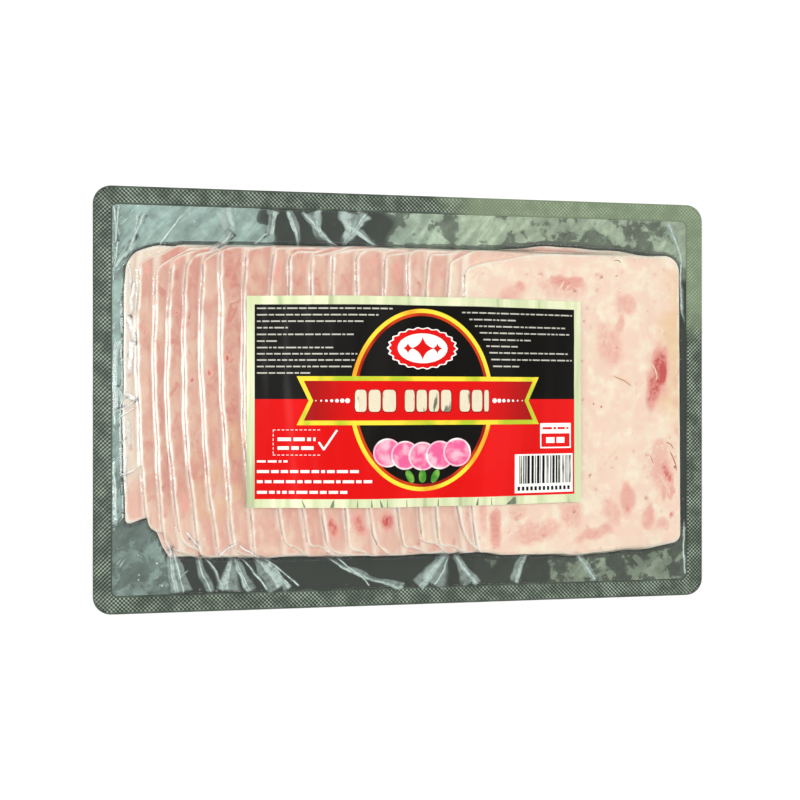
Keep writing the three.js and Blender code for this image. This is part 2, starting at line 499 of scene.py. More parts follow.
def filmMaterial():  # clear, with a gloss on its outer side that grows where it is seen at a slant
    n = Nodes("clear_film")
    spot = n.objectPlace()
    broad = n.noise(spot, clearLook["broadRipple"], 2, 0.5, 1.0)
    fine = n.noise(spot, clearLook["fineRipple"], 3, 0.6, 0.5)
    normal = n.bump(n.plus(fine, n.times(broad, clearLook["broadShare"])), clearLook["bump"])
    gloss = n.add("ShaderNodeBsdfGlossy", Normal=normal, Roughness=clearLook["roughness"], Color=(1, 1, 1, 1))
    clear = n.add("ShaderNodeBsdfTransparent", Color=clearLook["tint"])
    fresnel = n.add("ShaderNodeFresnel", Normal=normal, IOR=clearLook["ior"]).outputs[0]
    outward = n.minus(1.0, n.add("ShaderNodeNewGeometry").outputs["Backfacing"])
    return n.finish(n.blend(n.times(fresnel, outward), clear.outputs[0], gloss.outputs[0]))


foldColours = {
    "cool": colour(214, 234, 226),
    "warm": colour(255, 252, 246),
    # painted shade at the foot of each step
    "stepShadeGrey": colour(204, 180, 184),
}


def foldMaterial(name, key):  # milky where folded, clear beside it: partly the film's own whitening, partly painted highlight; the step lines use it for painted shade
    n = Nodes(name)
    patchy = n.ramp(n.noise(n.objectPlace(), 420, 3, 0.6), 0.28, 0.62)
    share = n.times(n.attribute("white"), n.plus(n.times(patchy, 0.6), 0.4), clamp=True)
    clear = n.add("ShaderNodeBsdfTransparent")
    milky = n.surface(n.mix(n.attribute("warm"), foldColours[key], foldColours["warm"]), 0.25)
    return n.finish(n.blend(share, clear.outputs[0], milky))


webColours = {
    "dark": colour(40, 46, 39),
    "hazeLeft": colour(176, 202, 194),
    "hazeRight": colour(194, 212, 184),
    "speck": colour(230, 240, 234),
}
webLook = {
    "streakTurn": 48,
    "streakLong": 4,
    "streaks": 190,
    "patches": 95,
    "cloud": 240,
    "drift": 38,
    "specks": 330.0,
    "roughness": 0.4,
}


def webMaterial():  # haze in torn patches, uneven and streaked aslant, with white specks
    n = Nodes("dark_bottom_film")
    spot = n.objectPlace()
    slanted = n.add("ShaderNodeMapping", {"vector_type": "TEXTURE"}, Vector=spot)
    slanted.inputs["Rotation"].default_value = (0, 0, math.radians(webLook["streakTurn"]))
    slanted.inputs["Scale"].default_value = (webLook["streakLong"], 1, 1)
    streaky = n.ramp(n.noise(slanted.outputs[0], webLook["streaks"], 4, 0.6, 0.6), 0.36, 0.66)
    patches = n.times(n.minus(n.noise(spot, webLook["patches"], 6, 0.62, 0.3), 0.5), 1.1)
    mask = n.ramp(n.plus(n.attribute("haze"), patches), 0.47, 0.53)
    cloud = n.noise(spot, webLook["cloud"], 4, 0.6)
    drift = n.ramp(n.noise(spot, webLook["drift"], 3, 0.55), 0.3, 0.7)
    haze = n.mix(n.ramp(n.objectX(), -0.09, 0.05), webColours["hazeLeft"], webColours["hazeRight"])
    least = n.attribute("least")
    share = n.plus(least, n.times(mask, n.minus(n.attribute("veil"), least)))
    clouded = n.ramp(cloud, 0.3, 0.75)
    for field, low, more in ((clouded, 0.72, 0.28), (drift, 0.78, 0.3), (streaky, 0.74, 0.46)):
        share = n.times(share, n.plus(low, n.times(field, more)))
    base = n.mix(share, webColours["dark"], haze)
    speck = n.times(n.ramp(n.dots(spot, webLook["specks"]), 0.2, 0.1), n.ramp(cloud, 0.56, 0.62))
    base = n.mix(n.times(speck, n.attribute("specks")), base, webColours["speck"])
    return n.finish(n.surface(base, webLook["roughness"]))


# ---- bottom film

webZones = [  # left, right, low and high edge, how much is hazy, strength of the haze and of the clear parts
    (-142, -68, 60, 94, 0.95, 0.95, 0.62),
    (-68, -14, 60, 94, 0.2, 0.7, 0.04),
    (-14, 70, 60, 94, 0.56, 0.92, 0.32),
    (70, 118, 60, 94, 0.5, 0.74, 0.26),
    (118, 142, 58, 94, 0.6, 0.75, 0.5),
    (-142, -104, -94, -54, 0.5, 0.62, 0.36),
    (-104, 26, -94, -60, 0.2, 0.6, 0.02),
    (26, 64, -94, -60, 0.4, 0.36, 0.05),
    (64, 132, -94, -60, 0.5, 0.56, 0.14),
    (-142, -126, -54, 58, 0.62, 0.9, 0.48),
    (128, 142, -60, 58, 0.1, 0.35, 0.02),
]
web = {
    "grid": (227, 151),
    "wander": 6,  # how far the zones' edges stray, and over what length
    "wanderOver": 9,
    "blend": 4,
    "specksFrom": -80,  # the white specks thin out over this length to the right of there
    "specksOver": 30,
    "specks": (0.9, 0.15),
    "footSlope": 1.5,
}


def zoneFields(x, y):  # blends each zone's three values over a few millimetres at its edges
    total, fields = np.full(x.shape, 1e-4), [np.full(x.shape, 2e-5) for _ in range(3)]
    x = x + web["wander"] * softNoise(x, y, web["wanderOver"], 81)
    for left, right, low, high, *values in webZones:
        inside = np.minimum(np.minimum(x - left, right - x), np.minimum(y - low, high - y))
        weight = smooth((inside + web["blend"] / 2) / web["blend"])
        total = total + weight
        fields = [field + weight * value for field, value in zip(fields, values)]
    return [field / total for field in fields]


def bottomFilm():  # a flat sheet with round corners: the points of an even grid, drawn in at its corners
    cols, rows = web["grid"]
    x, y = np.meshgrid(np.linspace(-1, 1, cols) * pack["halfX"], np.linspace(-1, 1, rows) * pack["halfY"])
    x, y = roundedIn(x, y)
    over = np.dstack([x, y, np.full_like(x, pack["webTop"])])
    under = np.dstack([x, y, np.zeros_like(x)])
    piece = closedSheet("bottom_web", over, under, webMaterial())
    haze, veil, least = zoneFields(x, y)
    foot = np.clip((stackHeight(x, y) - pack["hamGround"]) * web["footSlope"], 0, 1)  # no haze under the ham
    most, everywhere = web["specks"]
    specks = smooth((web["specksFrom"] - x) / web["specksOver"]) * most + everywhere
    fields = {"haze": haze - foot, "veil": veil, "least": least * (1 - foot), "specks": specks}
    for name, field in fields.items():
        paint(piece, name, np.tile(field.ravel(), 2))
    return place(piece, "bottom_film")


def roundedIn(x, y):  # pulls a rectangle's corner points in onto a rounded corner
    r = pack["corner"]
    dx, dy = np.abs(x) - (pack["halfX"] - r), np.abs(y) - (pack["halfY"] - r)
    both = (dx > 0) & (dy > 0)
    far, near = np.maximum(dx, dy), np.hypot(dx, dy)
    pull = np.where(both & (near > 0), far / np.where(near > 0, near, 1), 1)
    ax = np.where(both, pack["halfX"] - r + dx * pull, np.abs(x))
    ay = np.where(both, pack["halfY"] - r + dy * pull, np.abs(y))
    return np.sign(x) * ax, np.sign(y) * ay


# ---- seal

knurl = {
    "step": 0.4,
    "pitch": 1.8,
    "deep": 0.22,
    "top": 1.0,
    "cornerPoints": 27,
    "innerDip": 0.06,  # how far each edge turns down
    "outerDip": 0.1,
    "clear": 0.02,
    "edgeShade": 0.45,
}


def roundedLoop(halfX, halfY, r, step):  # points round a rectangle; equal counts for any two loops
    sideX, sideY = int(2 * pack["halfX"] / step), int(2 * pack["halfY"] / step)
    corners = [(1, -1, -90), (1, 1, 0), (-1, 1, 90), (-1, -1, 180)]
    runs = [sideY, sideX, sideY, sideX]
    points = []
    for k, (sx, sy, start) in enumerate(corners):
        angles = np.radians(start + np.linspace(0, 90, knurl["cornerPoints"]))
        arc = np.stack([sx * (halfX - r) + r * np.cos(angles), sy * (halfY - r) + r * np.sin(angles)], 1)
        nx, ny, turned = corners[(k + 1) % 4]
        begin = np.array([nx * (halfX - r), ny * (halfY - r)])
        begin = begin + r * np.array([math.cos(math.radians(turned)), math.sin(math.radians(turned))])
        t = np.linspace(0, 1, runs[k] + 2)[1:-1, None]
        points += [arc, arc[-1] + (begin - arc[-1]) * t]
    return np.concatenate(points)


sealColours = {
    "low": colour(38, 46, 38),
    "high": colour(168, 186, 166),
    "hazyLow": colour(108, 124, 98),
    "hazyHigh": colour(162, 178, 146),
}
sealLook = {"patches": 130, "drift": 30, "driftShare": 0.9, "roughness": 0.28}


def sealMaterial():  # raised points are painted lighter as a highlight, and the haze of the film closes in towards one end
    n = Nodes("sealed_edge")
    spot = n.objectPlace()
    bright = n.plus(0.35, n.times(n.ramp(n.noise(spot, sealLook["patches"], 3, 0.6), 0.35, 0.7), 0.65))
    ridge = n.times(n.ramp(n.attribute("ridge"), 0.3, 0.85), bright)
    clear = n.mix(ridge, sealColours["low"], sealColours["high"])
    hazy = n.mix(ridge, sealColours["hazyLow"], sealColours["hazyHigh"])
    drift = n.times(n.minus(n.noise(spot, sealLook["drift"], 3), 0.5), sealLook["driftShare"])
    base = n.mix(n.ramp(n.plus(n.attribute("hazy"), drift), 0.35, 0.65), clear, hazy)
    return n.finish(n.surface(base, sealLook["roughness"]))


def sealBand():  # height = top - deep (1 - raised), and raised = 0.5 + 0.5 cos(x) cos(y)
    inset = pack["seal"]
    inner = roundedLoop(pack["halfX"] - inset, pack["halfY"] - inset, pack["sealCorner"], knurl["step"])
    outer = roundedLoop(pack["halfX"], pack["halfY"], pack["corner"], knurl["step"])
    around, rows = len(inner), int(inset / knurl["step"]) + 1
    flat = lerp(inner[None], outer[None], np.linspace(0, 1, rows)[:, None, None])
    waves = np.cos(2 * np.pi * flat / knurl["pitch"])
    raised = 0.5 + 0.5 * waves[..., 0] * waves[..., 1]  # high points on a diamond lattice
    pressed = np.ones((rows, 1))
    pressed[[0, 1, -2, -1]] = 0
    z = knurl["top"] - knurl["deep"] * (1 - raised) * pressed
    z[0] -= knurl["innerDip"]
    z[-1] -= knurl["outerDip"]
    low = np.full(around, pack["webTop"] + knurl["clear"])
    base = np.concatenate([np.column_stack([inner, low]), np.column_stack([outer, low])])
    points = np.concatenate([np.dstack([flat, z]).reshape(-1, 3), base])
    loops = np.arange((rows + 2) * around).reshape(-1, around)  # the rows, then the base's two loops
    following = np.roll(loops, -1, 1)
    band = lambda a, b: np.stack([loops[a], loops[b], following[b], following[a]], -1).reshape(-1, 4)
    inside, outside, topRows = rows, rows + 1, np.arange(rows - 1)
    quads = [band(topRows, topRows + 1), band(rows - 1, outside), band(inside, 0), band(outside, inside)]
    piece = toMesh("seal_band", points, np.concatenate(quads), sealMaterial(), sharp=60)
    # ridge carries the painted highlight on raised points; the edge rows get a flat value
    ridge = np.where(pressed > 0, raised, knurl["edgeShade"]).ravel()
    paint(piece, "ridge", np.concatenate([ridge, np.zeros(2 * around)]))
    paint(piece, "hazy", smooth((points[:, 1] - 5) / 60) * smooth((points[:, 0] + 20) / 80))
    return place(piece, "bottom_film")


# ---- ham

muscles = [  # x, y, half width, half height, turn in degrees, strength
    (119.0, 15.5, 4.8, 10.5, -4, 1.08),
    (115.8, 7.0, 3.8, 12.5, -10, 0.96),
    (120.6, 14.0, 2.8, 7.0, -6, 1.35),
    (69.5, 54.0, 10.0, 3.4, -6, 0.66),
    (66.0, 51.5, 15.0, 6.0, -6, 0.3),
    (46.5, 50.5, 3.0, 2.8, 0, 0.55),
    (41.0, 46.0, 6.0, 5.0, 0, 0.36),
    (100.3, 44.7, 6.5, 6.0, 10, 0.44),
    (97.0, 35.0, 3.0, 6.0, -10, 0.4),
    (92.4, 25.0, 7.0, 12.0, 12, 0.4),
    (123.3, -35.5, 2.0, 6.2, 26, 0.92),
    (120.0, -33.0, 7.0, 14.0, 8, 0.42),
    (121.0, -43.6, 2.3, 4.6, 0, 0.5),
    (125.6, -44.0, 1.5, 4.0, -6, 0.62),
    (118.0, -21.5, 3.6, 3.6, 0, 0.4),
    (127.6, -1.4, 2.0, 3.2, 0, 0.3),
    (128.0, 9.0, 1.9, 4.6, 0, 0.32),
    (128.2, -14.0, 1.8, 5.0, 0, 0.3),
    (89.5, 30.0, 4.5, 8.0, 18, 0.34),
    (101.0, -46.6, 4.2, 8.4, 6, 0.55),
    (112.5, -55.0, 3.6, 6.4, -8, 0.5),
    (120.0, -59.0, 5.0, 3.0, 0, 0.4),
    (125.2, -54.6, 1.1, 1.5, 0, 0.85),
    (34.5, -57.5, 3.0, 9.0, 4, 0.72),
    (28.5, -52.0, 2.4, 8.0, 0, 0.4),
    (54.0, -60.0, 13.0, 6.0, 4, 0.42),
    (45.0, -51.0, 6.0, 5.0, 0, 0.34),
    (84.0, -62.0, 11.0, 3.4, 12, 0.5),
    (72.0, -52.0, 7.0, 7.0, 0, 0.4),
    (93.0, -53.0, 5.0, 7.0, 30, 0.36),
    (118.5, 12.0, 7.5, 14.0, -6, 0.4),
    (-39.0, -55.5, 2.8, 5.6, 10, 0.96),
    (-27.5, -54.0, 3.2, 6.0, 14, 0.88),
    (-15.5, -52.5, 3.4, 5.0, 0, 0.98),
    (-62.2, 57.5, 2.4, 6.0, 0, 0.6),
    (-50.5, 57.5, 2.6, 4.0, 0, 0.36),
    (-10.5, 56.5, 3.0, 5.0, 0, 0.62),
    (-118.6, 57.5, 2.2, 2.2, 0, 0.7),
    (-107.0, 60.5, 4.5, 1.7, 24, 0.5),
    (-21.0, 60.0, 4.0, 3.0, 0, 0.4),
    (9.5, 54.5, 1.5, 3.2, 20, 0.75),
    (65.0, 70.5, 26.0, 1.6, 2, 0.5),
    (-102.5, -44.5, 1.8, 5.0, 10, 0.55),
    (-92.0, -57.0, 2.2, 6.0, 14, 0.4),
    (-84.0, -33.0, 1.8, 8.0, 5, 0.35),
    (-119.6, 29.3, 0.6, 1.3, 0, 1.3),
    (-106.0, 39.2, 0.5, 1.0, 0, 1.2),
    (-83.8, 19.1, 0.8, 1.7, 0, 1.4),
    (-92.4, 12.6, 1.1, 1.5, 0, 1.0),
    (-99.2, 9.1, 0.5, 1.2, 0, 1.2),
]


def muscleAt(x, y):  # soft ovals: full at the middle, gone a little past their outline
    total = np.zeros(np.shape(x))
    for mx, my, wide, tall, turn, strength in muscles:
        c, s = math.cos(math.radians(turn)), math.sin(math.radians(turn))
        a, b = (x - mx) * c + (y - my) * s, (y - my) * c - (x - mx) * s
        reach = np.sqrt((a / wide) ** 2 + (b / tall) ** 2)
        total = np.maximum(total, strength * smooth((1.4 - reach) / 0.95))
    return total


cut = {  # how one slice is meshed and shaded; lengths in millimetres
    "mesh": (100, 46),
    "topMesh": (130, 104),
    "edge": [0, 0.12, 0.3, 0.6, 1.0, 1.5, 2.3],  # rows close together along every edge
    "crowd": 1.7,  # covered slices have more columns near the side that shows
    "edgeShare": 0.3,
    "undercut": 0.1,
    "undercutOver": 0.5,
    # the pale band along each edge: partly paler meat at the cut, partly painted sheen of the film over the
    # step
    "rimFrom": 1.6,
    "rimOver": 1.3,
    "rimUneven": 0.5,
    "rimStrength": 0.92,
    "faceShare": 0.35,  # the rim's strength on the cut faces themselves, which stay meat
    "treadShadeAt": 2.0,  # a grey line of painted shade beside the next slice, then a pale band close to it, partly painted reflection off the film's step
    "treadShadeWide": 0.6,
    "treadShadeStrength": 0.35,
    "paleFrom": 1.5,
    "paleStrength": 0.6,
    "paleSlice": 0.62,
    "paleAbove": -42,
    "lowEnds": -40,
    "lowEndsPaler": 0.3,
}
# yellowed fat: down the top slice's right side, and in patches low on a few covered slices
fatSide = {"from": 117, "over": 10, "uneven": 7, "low": -34, "lowOver": 50, "high": 66, "strength": 0.6}
fatPatches = {"slices": (4, 5, 6), "above": -5, "below": -62, "strength": 0.3}
meatTones = [0.55, 0.9, 1.0, 0.95, 0.95, 0.9, 1.0, 0.95, 1.0, 0.95, 0.9, 0.8, 0.75, 0.9, 0.6, 0.7, 0.3, 0.0]


def roundCorners(a, b, r):  # distances from two edges, drawn in so that the corner is round
    p, q = np.maximum(r - a, 0), np.maximum(r - b, 0)
    both = (p > 0) & (q > 0)
    pull = np.where(both, np.maximum(p, q) / np.maximum(np.hypot(p, q), 1e-6), 1)
    return np.where(both, r - p * pull, a), np.where(both, r - q * pull, b)


def sliceGrid(piece):  # a rectangle with round corners, fitted between the slice's four wavering edges
    isTop = piece["i"] == lastSlice
    rows, cols = cut["topMesh"] if isTop else cut["mesh"]
    edge = np.array(cut["edge"])
    between = lambda count, crowd: np.linspace(0, 1, count - 2 * len(edge) + 2)[1:-1] ** crowd
    spread = lambda long, count, crowd=1.0: np.concatenate(
        [edge, edge[-1] + (long - 2 * edge[-1]) * between(count, crowd), long - edge[::-1]])
    long, tall = ham["width"], piece["top"][1] - piece["bottom"][1]
    a, b = np.meshgrid(spread(long, cols, 1.0 if isTop else cut["crowd"]), spread(tall, rows))
    right, up = a > long / 2, b > tall / 2
    leftCorner = np.where(up, piece["top"][3], piece["bottom"][3])
    r = np.where(right, np.where(up, *ham["rightCorners"]), leftCorner)
    fromSide, fromEnd = roundCorners(np.minimum(a, long - a), np.minimum(b, tall - b), r)
    s = np.where(right, long - fromSide, fromSide) / long
    t = np.where(up, tall - fromEnd, fromEnd) / tall
    x, y = piece["x"] + s * long, lerp(piece["bottom"][0], piece["top"][0], t)
    for _ in range(5):  # each edge depends on the other's place, so they are settled in turn
        x = lerp(leftEdge(piece, y), rightEdge(piece, y), s)
        y = lerp(endEdge(piece, "bottom", x), endEdge(piece, "top", x), t)
    return x, y


def fattyAt(i, x, y, rough):
    if i in fatPatches["slices"]:
        patch = smooth((softNoise(x, y, 8, 45) + 0.2) / 0.6) * fatPatches["strength"]
        return patch * smooth((fatPatches["above"] - y) / 10) * smooth((y - fatPatches["below"]) / 10)
    strays = fatSide["uneven"] * softNoise(x, y, 9, 44) + 3 * rough
    across = smooth((x - fatSide["from"] + strays) / fatSide["over"])
    along = smooth((y - fatSide["low"] + 12 * rough) / fatSide["lowOver"])
    along = along * smooth((fatSide["high"] - y) / 10)
    return fatSide["strength"] * across * along * (i == lastSlice)


def hamSlice(piece, material):  # top = what lies below + thickness, rounded down to its edges, + relief
    i = piece["i"]
    isTop = i == lastSlice
    x, y = sliceGrid(piece)
    inside, _, atRight = insideBy(piece, x, y)
    inside = np.maximum(inside, 0)
    below = stackHeight(x, y, i) + ham["slack"] * (i > 0)
    lip = 1 - np.clip(inside / ham["round"], 0, 1)
    thick = (ham["thick"] - ham["slack"]) * np.where(atRight & (not isTop), cover(piece, x, y), 1)
    rounded = cut["edgeShare"] + (1 - cut["edgeShare"]) * np.sqrt(1 - lip**2)
    over = np.dstack([x, y, below + thick * rounded + relief(x, y) * smooth(inside / 2)])
    raised = cut["undercut"] * thick * np.clip(1 - inside / cut["undercutOver"], 0, 1)
    under = np.dstack([x, y, below + raised])
    obj = closedSheet(f"ham_slice_{i + 1:02d}", over, under, material, sharp=75)
    rough = softNoise(x, y, 2.3, 40 + i)
    # rim: the pale edge band, partly the cut edge's paler meat and partly painted film sheen
    rim = smooth((cut["rimFrom"] + cut["rimUneven"] * rough - inside) / cut["rimOver"])
    rim = rim * cut["rimStrength"] * lerp(cut["faceShare"], 1.0, smooth(inside / 0.5))
    toNext = leftEdge(slices[i + 1], y) - x if not isTop else np.full(x.shape, 99.0)
    # a pale band close to the next slice's edge, partly painted reflection off the film's step
    pale = smooth((cut["paleFrom"] - toNext) / 0.6) * (toNext > -1)
    wx, wy = x + 0.8 * softNoise(x, y, 4, 51), y + 1.2 * softNoise(x, y, 5, 52)  # ragged muscle outlines
    fields = {
        "rim": np.maximum(rim, cut["paleStrength"] * pale),
        # painted shade: a darker line on the tread beside the next slice's step
        "treadShade": cut["treadShadeStrength"] * np.exp(-(((toNext - cut["treadShadeAt"]) / cut["treadShadeWide"]) ** 2)),
        "fatty": fattyAt(i, x, y, rough),
        "pale": cut["paleSlice"] * smooth((y - cut["paleAbove"]) / 14) * (i == 0),
        "tone": meatTones[i] * (1 - cut["lowEndsPaler"] * smooth((cut["lowEnds"] - y) / 15)),
        "muscle": muscleAt(wx, wy),
        "meat": np.dstack([x / 10, y / (10 if isTop else 17), np.full(x.shape, 3.7 * i)]),
    }
    for name, field in fields.items():
        paint(obj, name, np.concatenate([field.reshape(x.size, -1)] * 2).squeeze())
    return place(obj, "sealed_bag")


# ---- clear film

creases = [  # from the seal to the ham: two ends, height at each end, half width at each end
    ((-86, 86), (-82, 73), (1.6, 1.3), (4.6, 2.2)),
    ((-82, 75), (-93, 63), (1.3, 0.4), (2.2, 1.0)),
    ((-81, 74), (-88, 66), (0.8, 0.4), (0.9, 0.6)),
    ((-64, 86), (-66.5, 71), (1.2, 0.9), (2.8, 1.4)),
    ((-66, 75), (-73, 68), (1.0, 0.3), (1.4, 0.8)),
    ((-57, 86), (-52, 69), (0.9, 0.4), (2.4, 1.0)),
    ((-51, 85), (-33, 67.5), (0.9, 0.5), (1.4, 1.0)),
    ((-22, 86), (-34, 69), (1.7, 1.0), (4.6, 1.4)),
    ((-31, 80), (-14, 68), (1.0, 0.4), (2.0, 1.0)),
    ((-120, 82), (-126.5, 62), (0.9, 0.7), (1.3, 1.2)),
    ((-123.5, 82), (-129, 61), (0.9, 0.6), (1.0, 1.0)),
    ((-103, 82), (-114, 66), (0.5, 0.3), (0.9, 0.7)),
    ((-133.2, 86), (-132.6, 67), (0.8, 0.8), (0.7, 0.7)),
    ((-131.2, 86), (-131.0, 70), (0.8, 0.8), (0.6, 0.6)),
    ((-131.4, 70), (-133.4, 55), (0.8, 0.4), (0.7, 0.6)),
    ((-133.5, 58), (-122, 72), (0.6, 0.6), (1.4, 1.8)),
    ((-130.5, 27), (-132.5, 6), (0.5, 0.9), (1.2, 2.2)),
    ((-132.5, 6), (-129.5, -4), (0.9, 0.5), (2.2, 1.2)),
    ((-133, -5), (-122.5, 1), (0.6, 0.45), (1.1, 0.8)),
    ((-131.5, -9), (-123, -3), (0.5, 0.4), (0.9, 0.7)),
    ((-130.5, -33), (-121.5, -29), (0.5, 0.35), (1.0, 0.7)),
    ((-133.2, -28), (-131.5, -56), (0.6, 0.5), (0.9, 1.2)),
    ((-107, -86), (-109.5, -60), (1.2, 0.5), (2.4, 1.0)),
    ((-103, -86), (-109, -66), (0.7, 0.3), (0.8, 0.5)),
    ((-91, -86), (-97, -66), (1.2, 0.5), (2.8, 1.0)),
    ((-86, -86), (-95.5, -68), (0.7, 0.3), (1.0, 0.6)),
    ((-73, -86), (-81, -67), (1.3, 0.5), (3.4, 1.0)),
    ((-66, -86), (-80, -69), (0.7, 0.3), (0.9, 0.5)),
    ((-57, -86), (-70, -68), (1.3, 0.5), (2.6, 1.0)),
    ((-52, -84), (-68, -70), (0.6, 0.3), (0.7, 0.5)),
    ((-102, -57.5), (-93.5, -66), (0.3, 0.3), (0.7, 0.7)),
    ((-88.5, -69), (-78, -61.5), (0.4, 0.3), (0.8, 0.7)),
    ((-79, -63), (-66, -70), (0.4, 0.3), (0.8, 0.7)),
    ((-4, -86), (-44, -68), (1.2, 0.6), (1.8, 1.2)),
    ((-20, -85), (-38, -70), (0.6, 0.3), (0.7, 0.5)),
    ((2, -86), (18, -68), (1.5, 0.8), (4.6, 1.2)),
    ((31, -86), (17, -68), (1.2, 0.8), (2.4, 1.0)),
    ((10, -86), (17.5, -71), (0.9, 0.4), (0.8, 0.5)),
    ((48, -86), (55, -69), (0.8, 0.3), (2.6, 1.0)),
    ((88, -86), (73, -69), (0.9, 0.3), (2.6, 1.0)),
    ((-83, -86), (-80.5, -69), (0.4, 0.3), (6.0, 0.8)),
    ((-62, -86), (-74, -69), (0.4, 0.3), (6.5, 0.8)),
    ((-104, -86), (-108, -64), (0.4, 0.3), (4.5, 0.8)),
    ((9, -86), (17, -69.5), (0.5, 0.3), (8.0, 1.0)),
    ((27, -86), (17.8, -69.5), (0.4, 0.3), (4.0, 0.8)),
    ((-28, 86), (-31, 70), (0.4, 0.3), (7.0, 1.5)),
    ((-46, 86), (-41, 71), (0.3, 0.2), (5.0, 2.0)),
    ((124, 85), (131.5, 62), (0.5, 0.6), (1.6, 1.0)),
    ((131.3, 66), (133.4, 36), (0.6, 0.5), (0.8, 1.2)),
    ((134, -84), (132.8, -56), (0.6, 0.4), (0.9, 0.6)),
]


film = {
    "swelling": (0.5, 1.5, 1.2),  # under a fold: share of its height, then share of its width, and more
    "slack": (0.25, 11, 0.06, 4),  # height and size of the broad and of the small waves
    "looseRight": 0.3,  # how much of that slack lies over the web, at either end of the pack
    "looseLeft": 0.7,
    "leftEnd": (-95, 20),
    "flatEdge": 3.0,
    "tuck": 0.14,  # how far the film's edge dips under the seal, and over what width
    "tuckOver": 1.8,
    "past": 0.3,
    "arc": [-1.8, -1.4, -1.05, -0.7, -0.35, -0.02, 0.25, 0.6],  # columns beside every step
    "columns": {"left": 10, "tread": 4, "top": 62, "right": 6},
    "rows": {"start": 0.8, "step": 1.6, "fineFrom": 54.8, "fineStep": 0.9, "fineTo": 80.0, "last": 5},
}


def creaseHeight(x, y):  # broad soft swellings under the folds, the highest one counting at each point
    share, wider, more = film["swelling"]
    lifted = np.zeros(np.shape(x))
    for (x0, y0), (x1, y1), (h0, h1), (w0, w1) in creases:
        dx, dy = x1 - x0, y1 - y0
        t = np.clip(((x - x0) * dx + (y - y0) * dy) / (dx * dx + dy * dy), 0, 1)
        away = np.hypot(x - x0 - t * dx, y - y0 - t * dy)
        swell = smooth(1 - away / (wider * lerp(w0, w1, t) + more))
        lifted = np.maximum(lifted, share * lerp(h0, h1, t) * swell)
    return lifted


def filmTop(x, y):  # stack + gap + the film itself + the ham's relief + folds and slack over the web - tuck
    stack = stackHeight(x, y)
    onHam = smooth((stack - pack["hamGround"]) / ham["thick"])
    broad, broadSize, small, smallSize = film["slack"]
    slack = broad * np.clip(softNoise(x, y, broadSize, 8), 0, 1) + small * softNoise(x, y, smallSize, 9)
    leftFrom, leftOver = film["leftEnd"]
    loose = lerp(film["looseRight"], film["looseLeft"], smooth((leftFrom - x) / leftOver)) * (1 - onHam)
    fromSide = pack["halfX"] - pack["seal"] - np.abs(x)
    fromEnd = pack["halfY"] - pack["seal"] - np.abs(y)
    flat = smooth(fromSide / film["flatEdge"]) * smooth(fromEnd / film["flatEdge"])
    lift = (creaseHeight(x, y) + slack * loose) * flat
    tucked = film["tuck"] * smooth(1 - np.minimum(fromSide, fromEnd) / film["tuckOver"])
    return stack + pack["filmGap"] + pack["filmThick"] + relief(x, y) * onHam + lift - tucked


def sideLine(piece, y):  # the slice's left side at y, drawn in a little at its corners
    r = np.where(y > 0, piece["top"][3], piece["bottom"][3])
    end = np.where(y > 0, piece["top"][0] - y, y - piece["bottom"][0])
    past = np.clip(r - end, 0, r)
    return leftEdge(piece, y) + np.minimum(r - np.sqrt(r**2 - past**2), 1.5)


def filmColumns(y):  # x of every column at each row: dense over the steps, even between them
    arc, count = np.array(film["arc"]), film["columns"]
    lines = [sideLine(piece, y)[:, None] + arc for piece in slices]
    rightSide = rightEdge(slices[-1], y)[:, None] - arc[::-1]
    between = lambda a, b, n: a[:, -1:] + (b[:, :1] - a[:, -1:]) * (np.arange(1, n + 1) / (n + 1))
    ends = np.full((len(y), 1), pack["halfX"] - pack["seal"] + film["past"])
    blocks = [-ends, between(-ends, lines[0], count["left"])]
    for k, line in enumerate(lines):
        blocks.append(line)
        if k < lastSlice:
            blocks.append(between(line, lines[k + 1], count["tread"]))
    blocks += [between(lines[-1], rightSide, count["top"]), rightSide]
    blocks += [between(rightSide, ends, count["right"]), ends]
    return np.concatenate(blocks, 1)


def clearFilm():
    rows = film["rows"]
    coarse = np.arange(rows["start"], rows["fineFrom"] - rows["start"], rows["step"])
    fine = np.arange(rows["fineFrom"], rows["fineTo"], rows["fineStep"])
    limit = pack["halfY"] - pack["seal"] + film["past"]
    half = np.concatenate([coarse, fine, np.linspace(rows["fineTo"] + 0.6, limit, rows["last"])])
    y = np.concatenate([-half[::-1], half])
    x = filmColumns(y)
    y = y[:, None] * np.ones((1, x.shape[1]))
    top = filmTop(x, y)
    over, under = np.dstack([x, y, top]), np.dstack([x, y, top - pack["filmThick"]])
    piece = closedSheet("top_film", over, under, filmMaterial(), sharp=180)
    return place(piece, "sealed_bag")


folds = {
    "along": 0.6,
    "across": 13,
    "gap": 0.05,
    "apart": 0.012,  # folds that cross lie one over the other
    "thick": 0.03,
    "wander": 0.35,
    "uneven": 0.35,
    "bow": 0.06,
    "crestAt": 0.25,  # painted highlight lines along a fold: where across it, and how wide
    "crestWide": 0.3,
    "footAt": 0.75,
    "footWide": 0.24,
    "streaks": 44,
}
glare = [  # bright patches of film on the first slice: from, to, half width, whiteness
    ((-127.2, 37), (-124.0, 24), 1.5, 0.95),
    ((-125.2, 26), (-126.6, 10), 1.9, 1.0),
    ((-124.2, 52), (-125.8, 36), 1.1, 0.8),
    ((-128.2, 3), (-123.2, -1), 1.3, 0.9),
    ((-127.0, -8), (-125.4, -22), 1.4, 0.5),
    ((-127.0, 60), (-126.6, 47), 0.9, 0.55),
    ((-127.6, -24), (-126.6, -42), 0.9, 0.45),
]


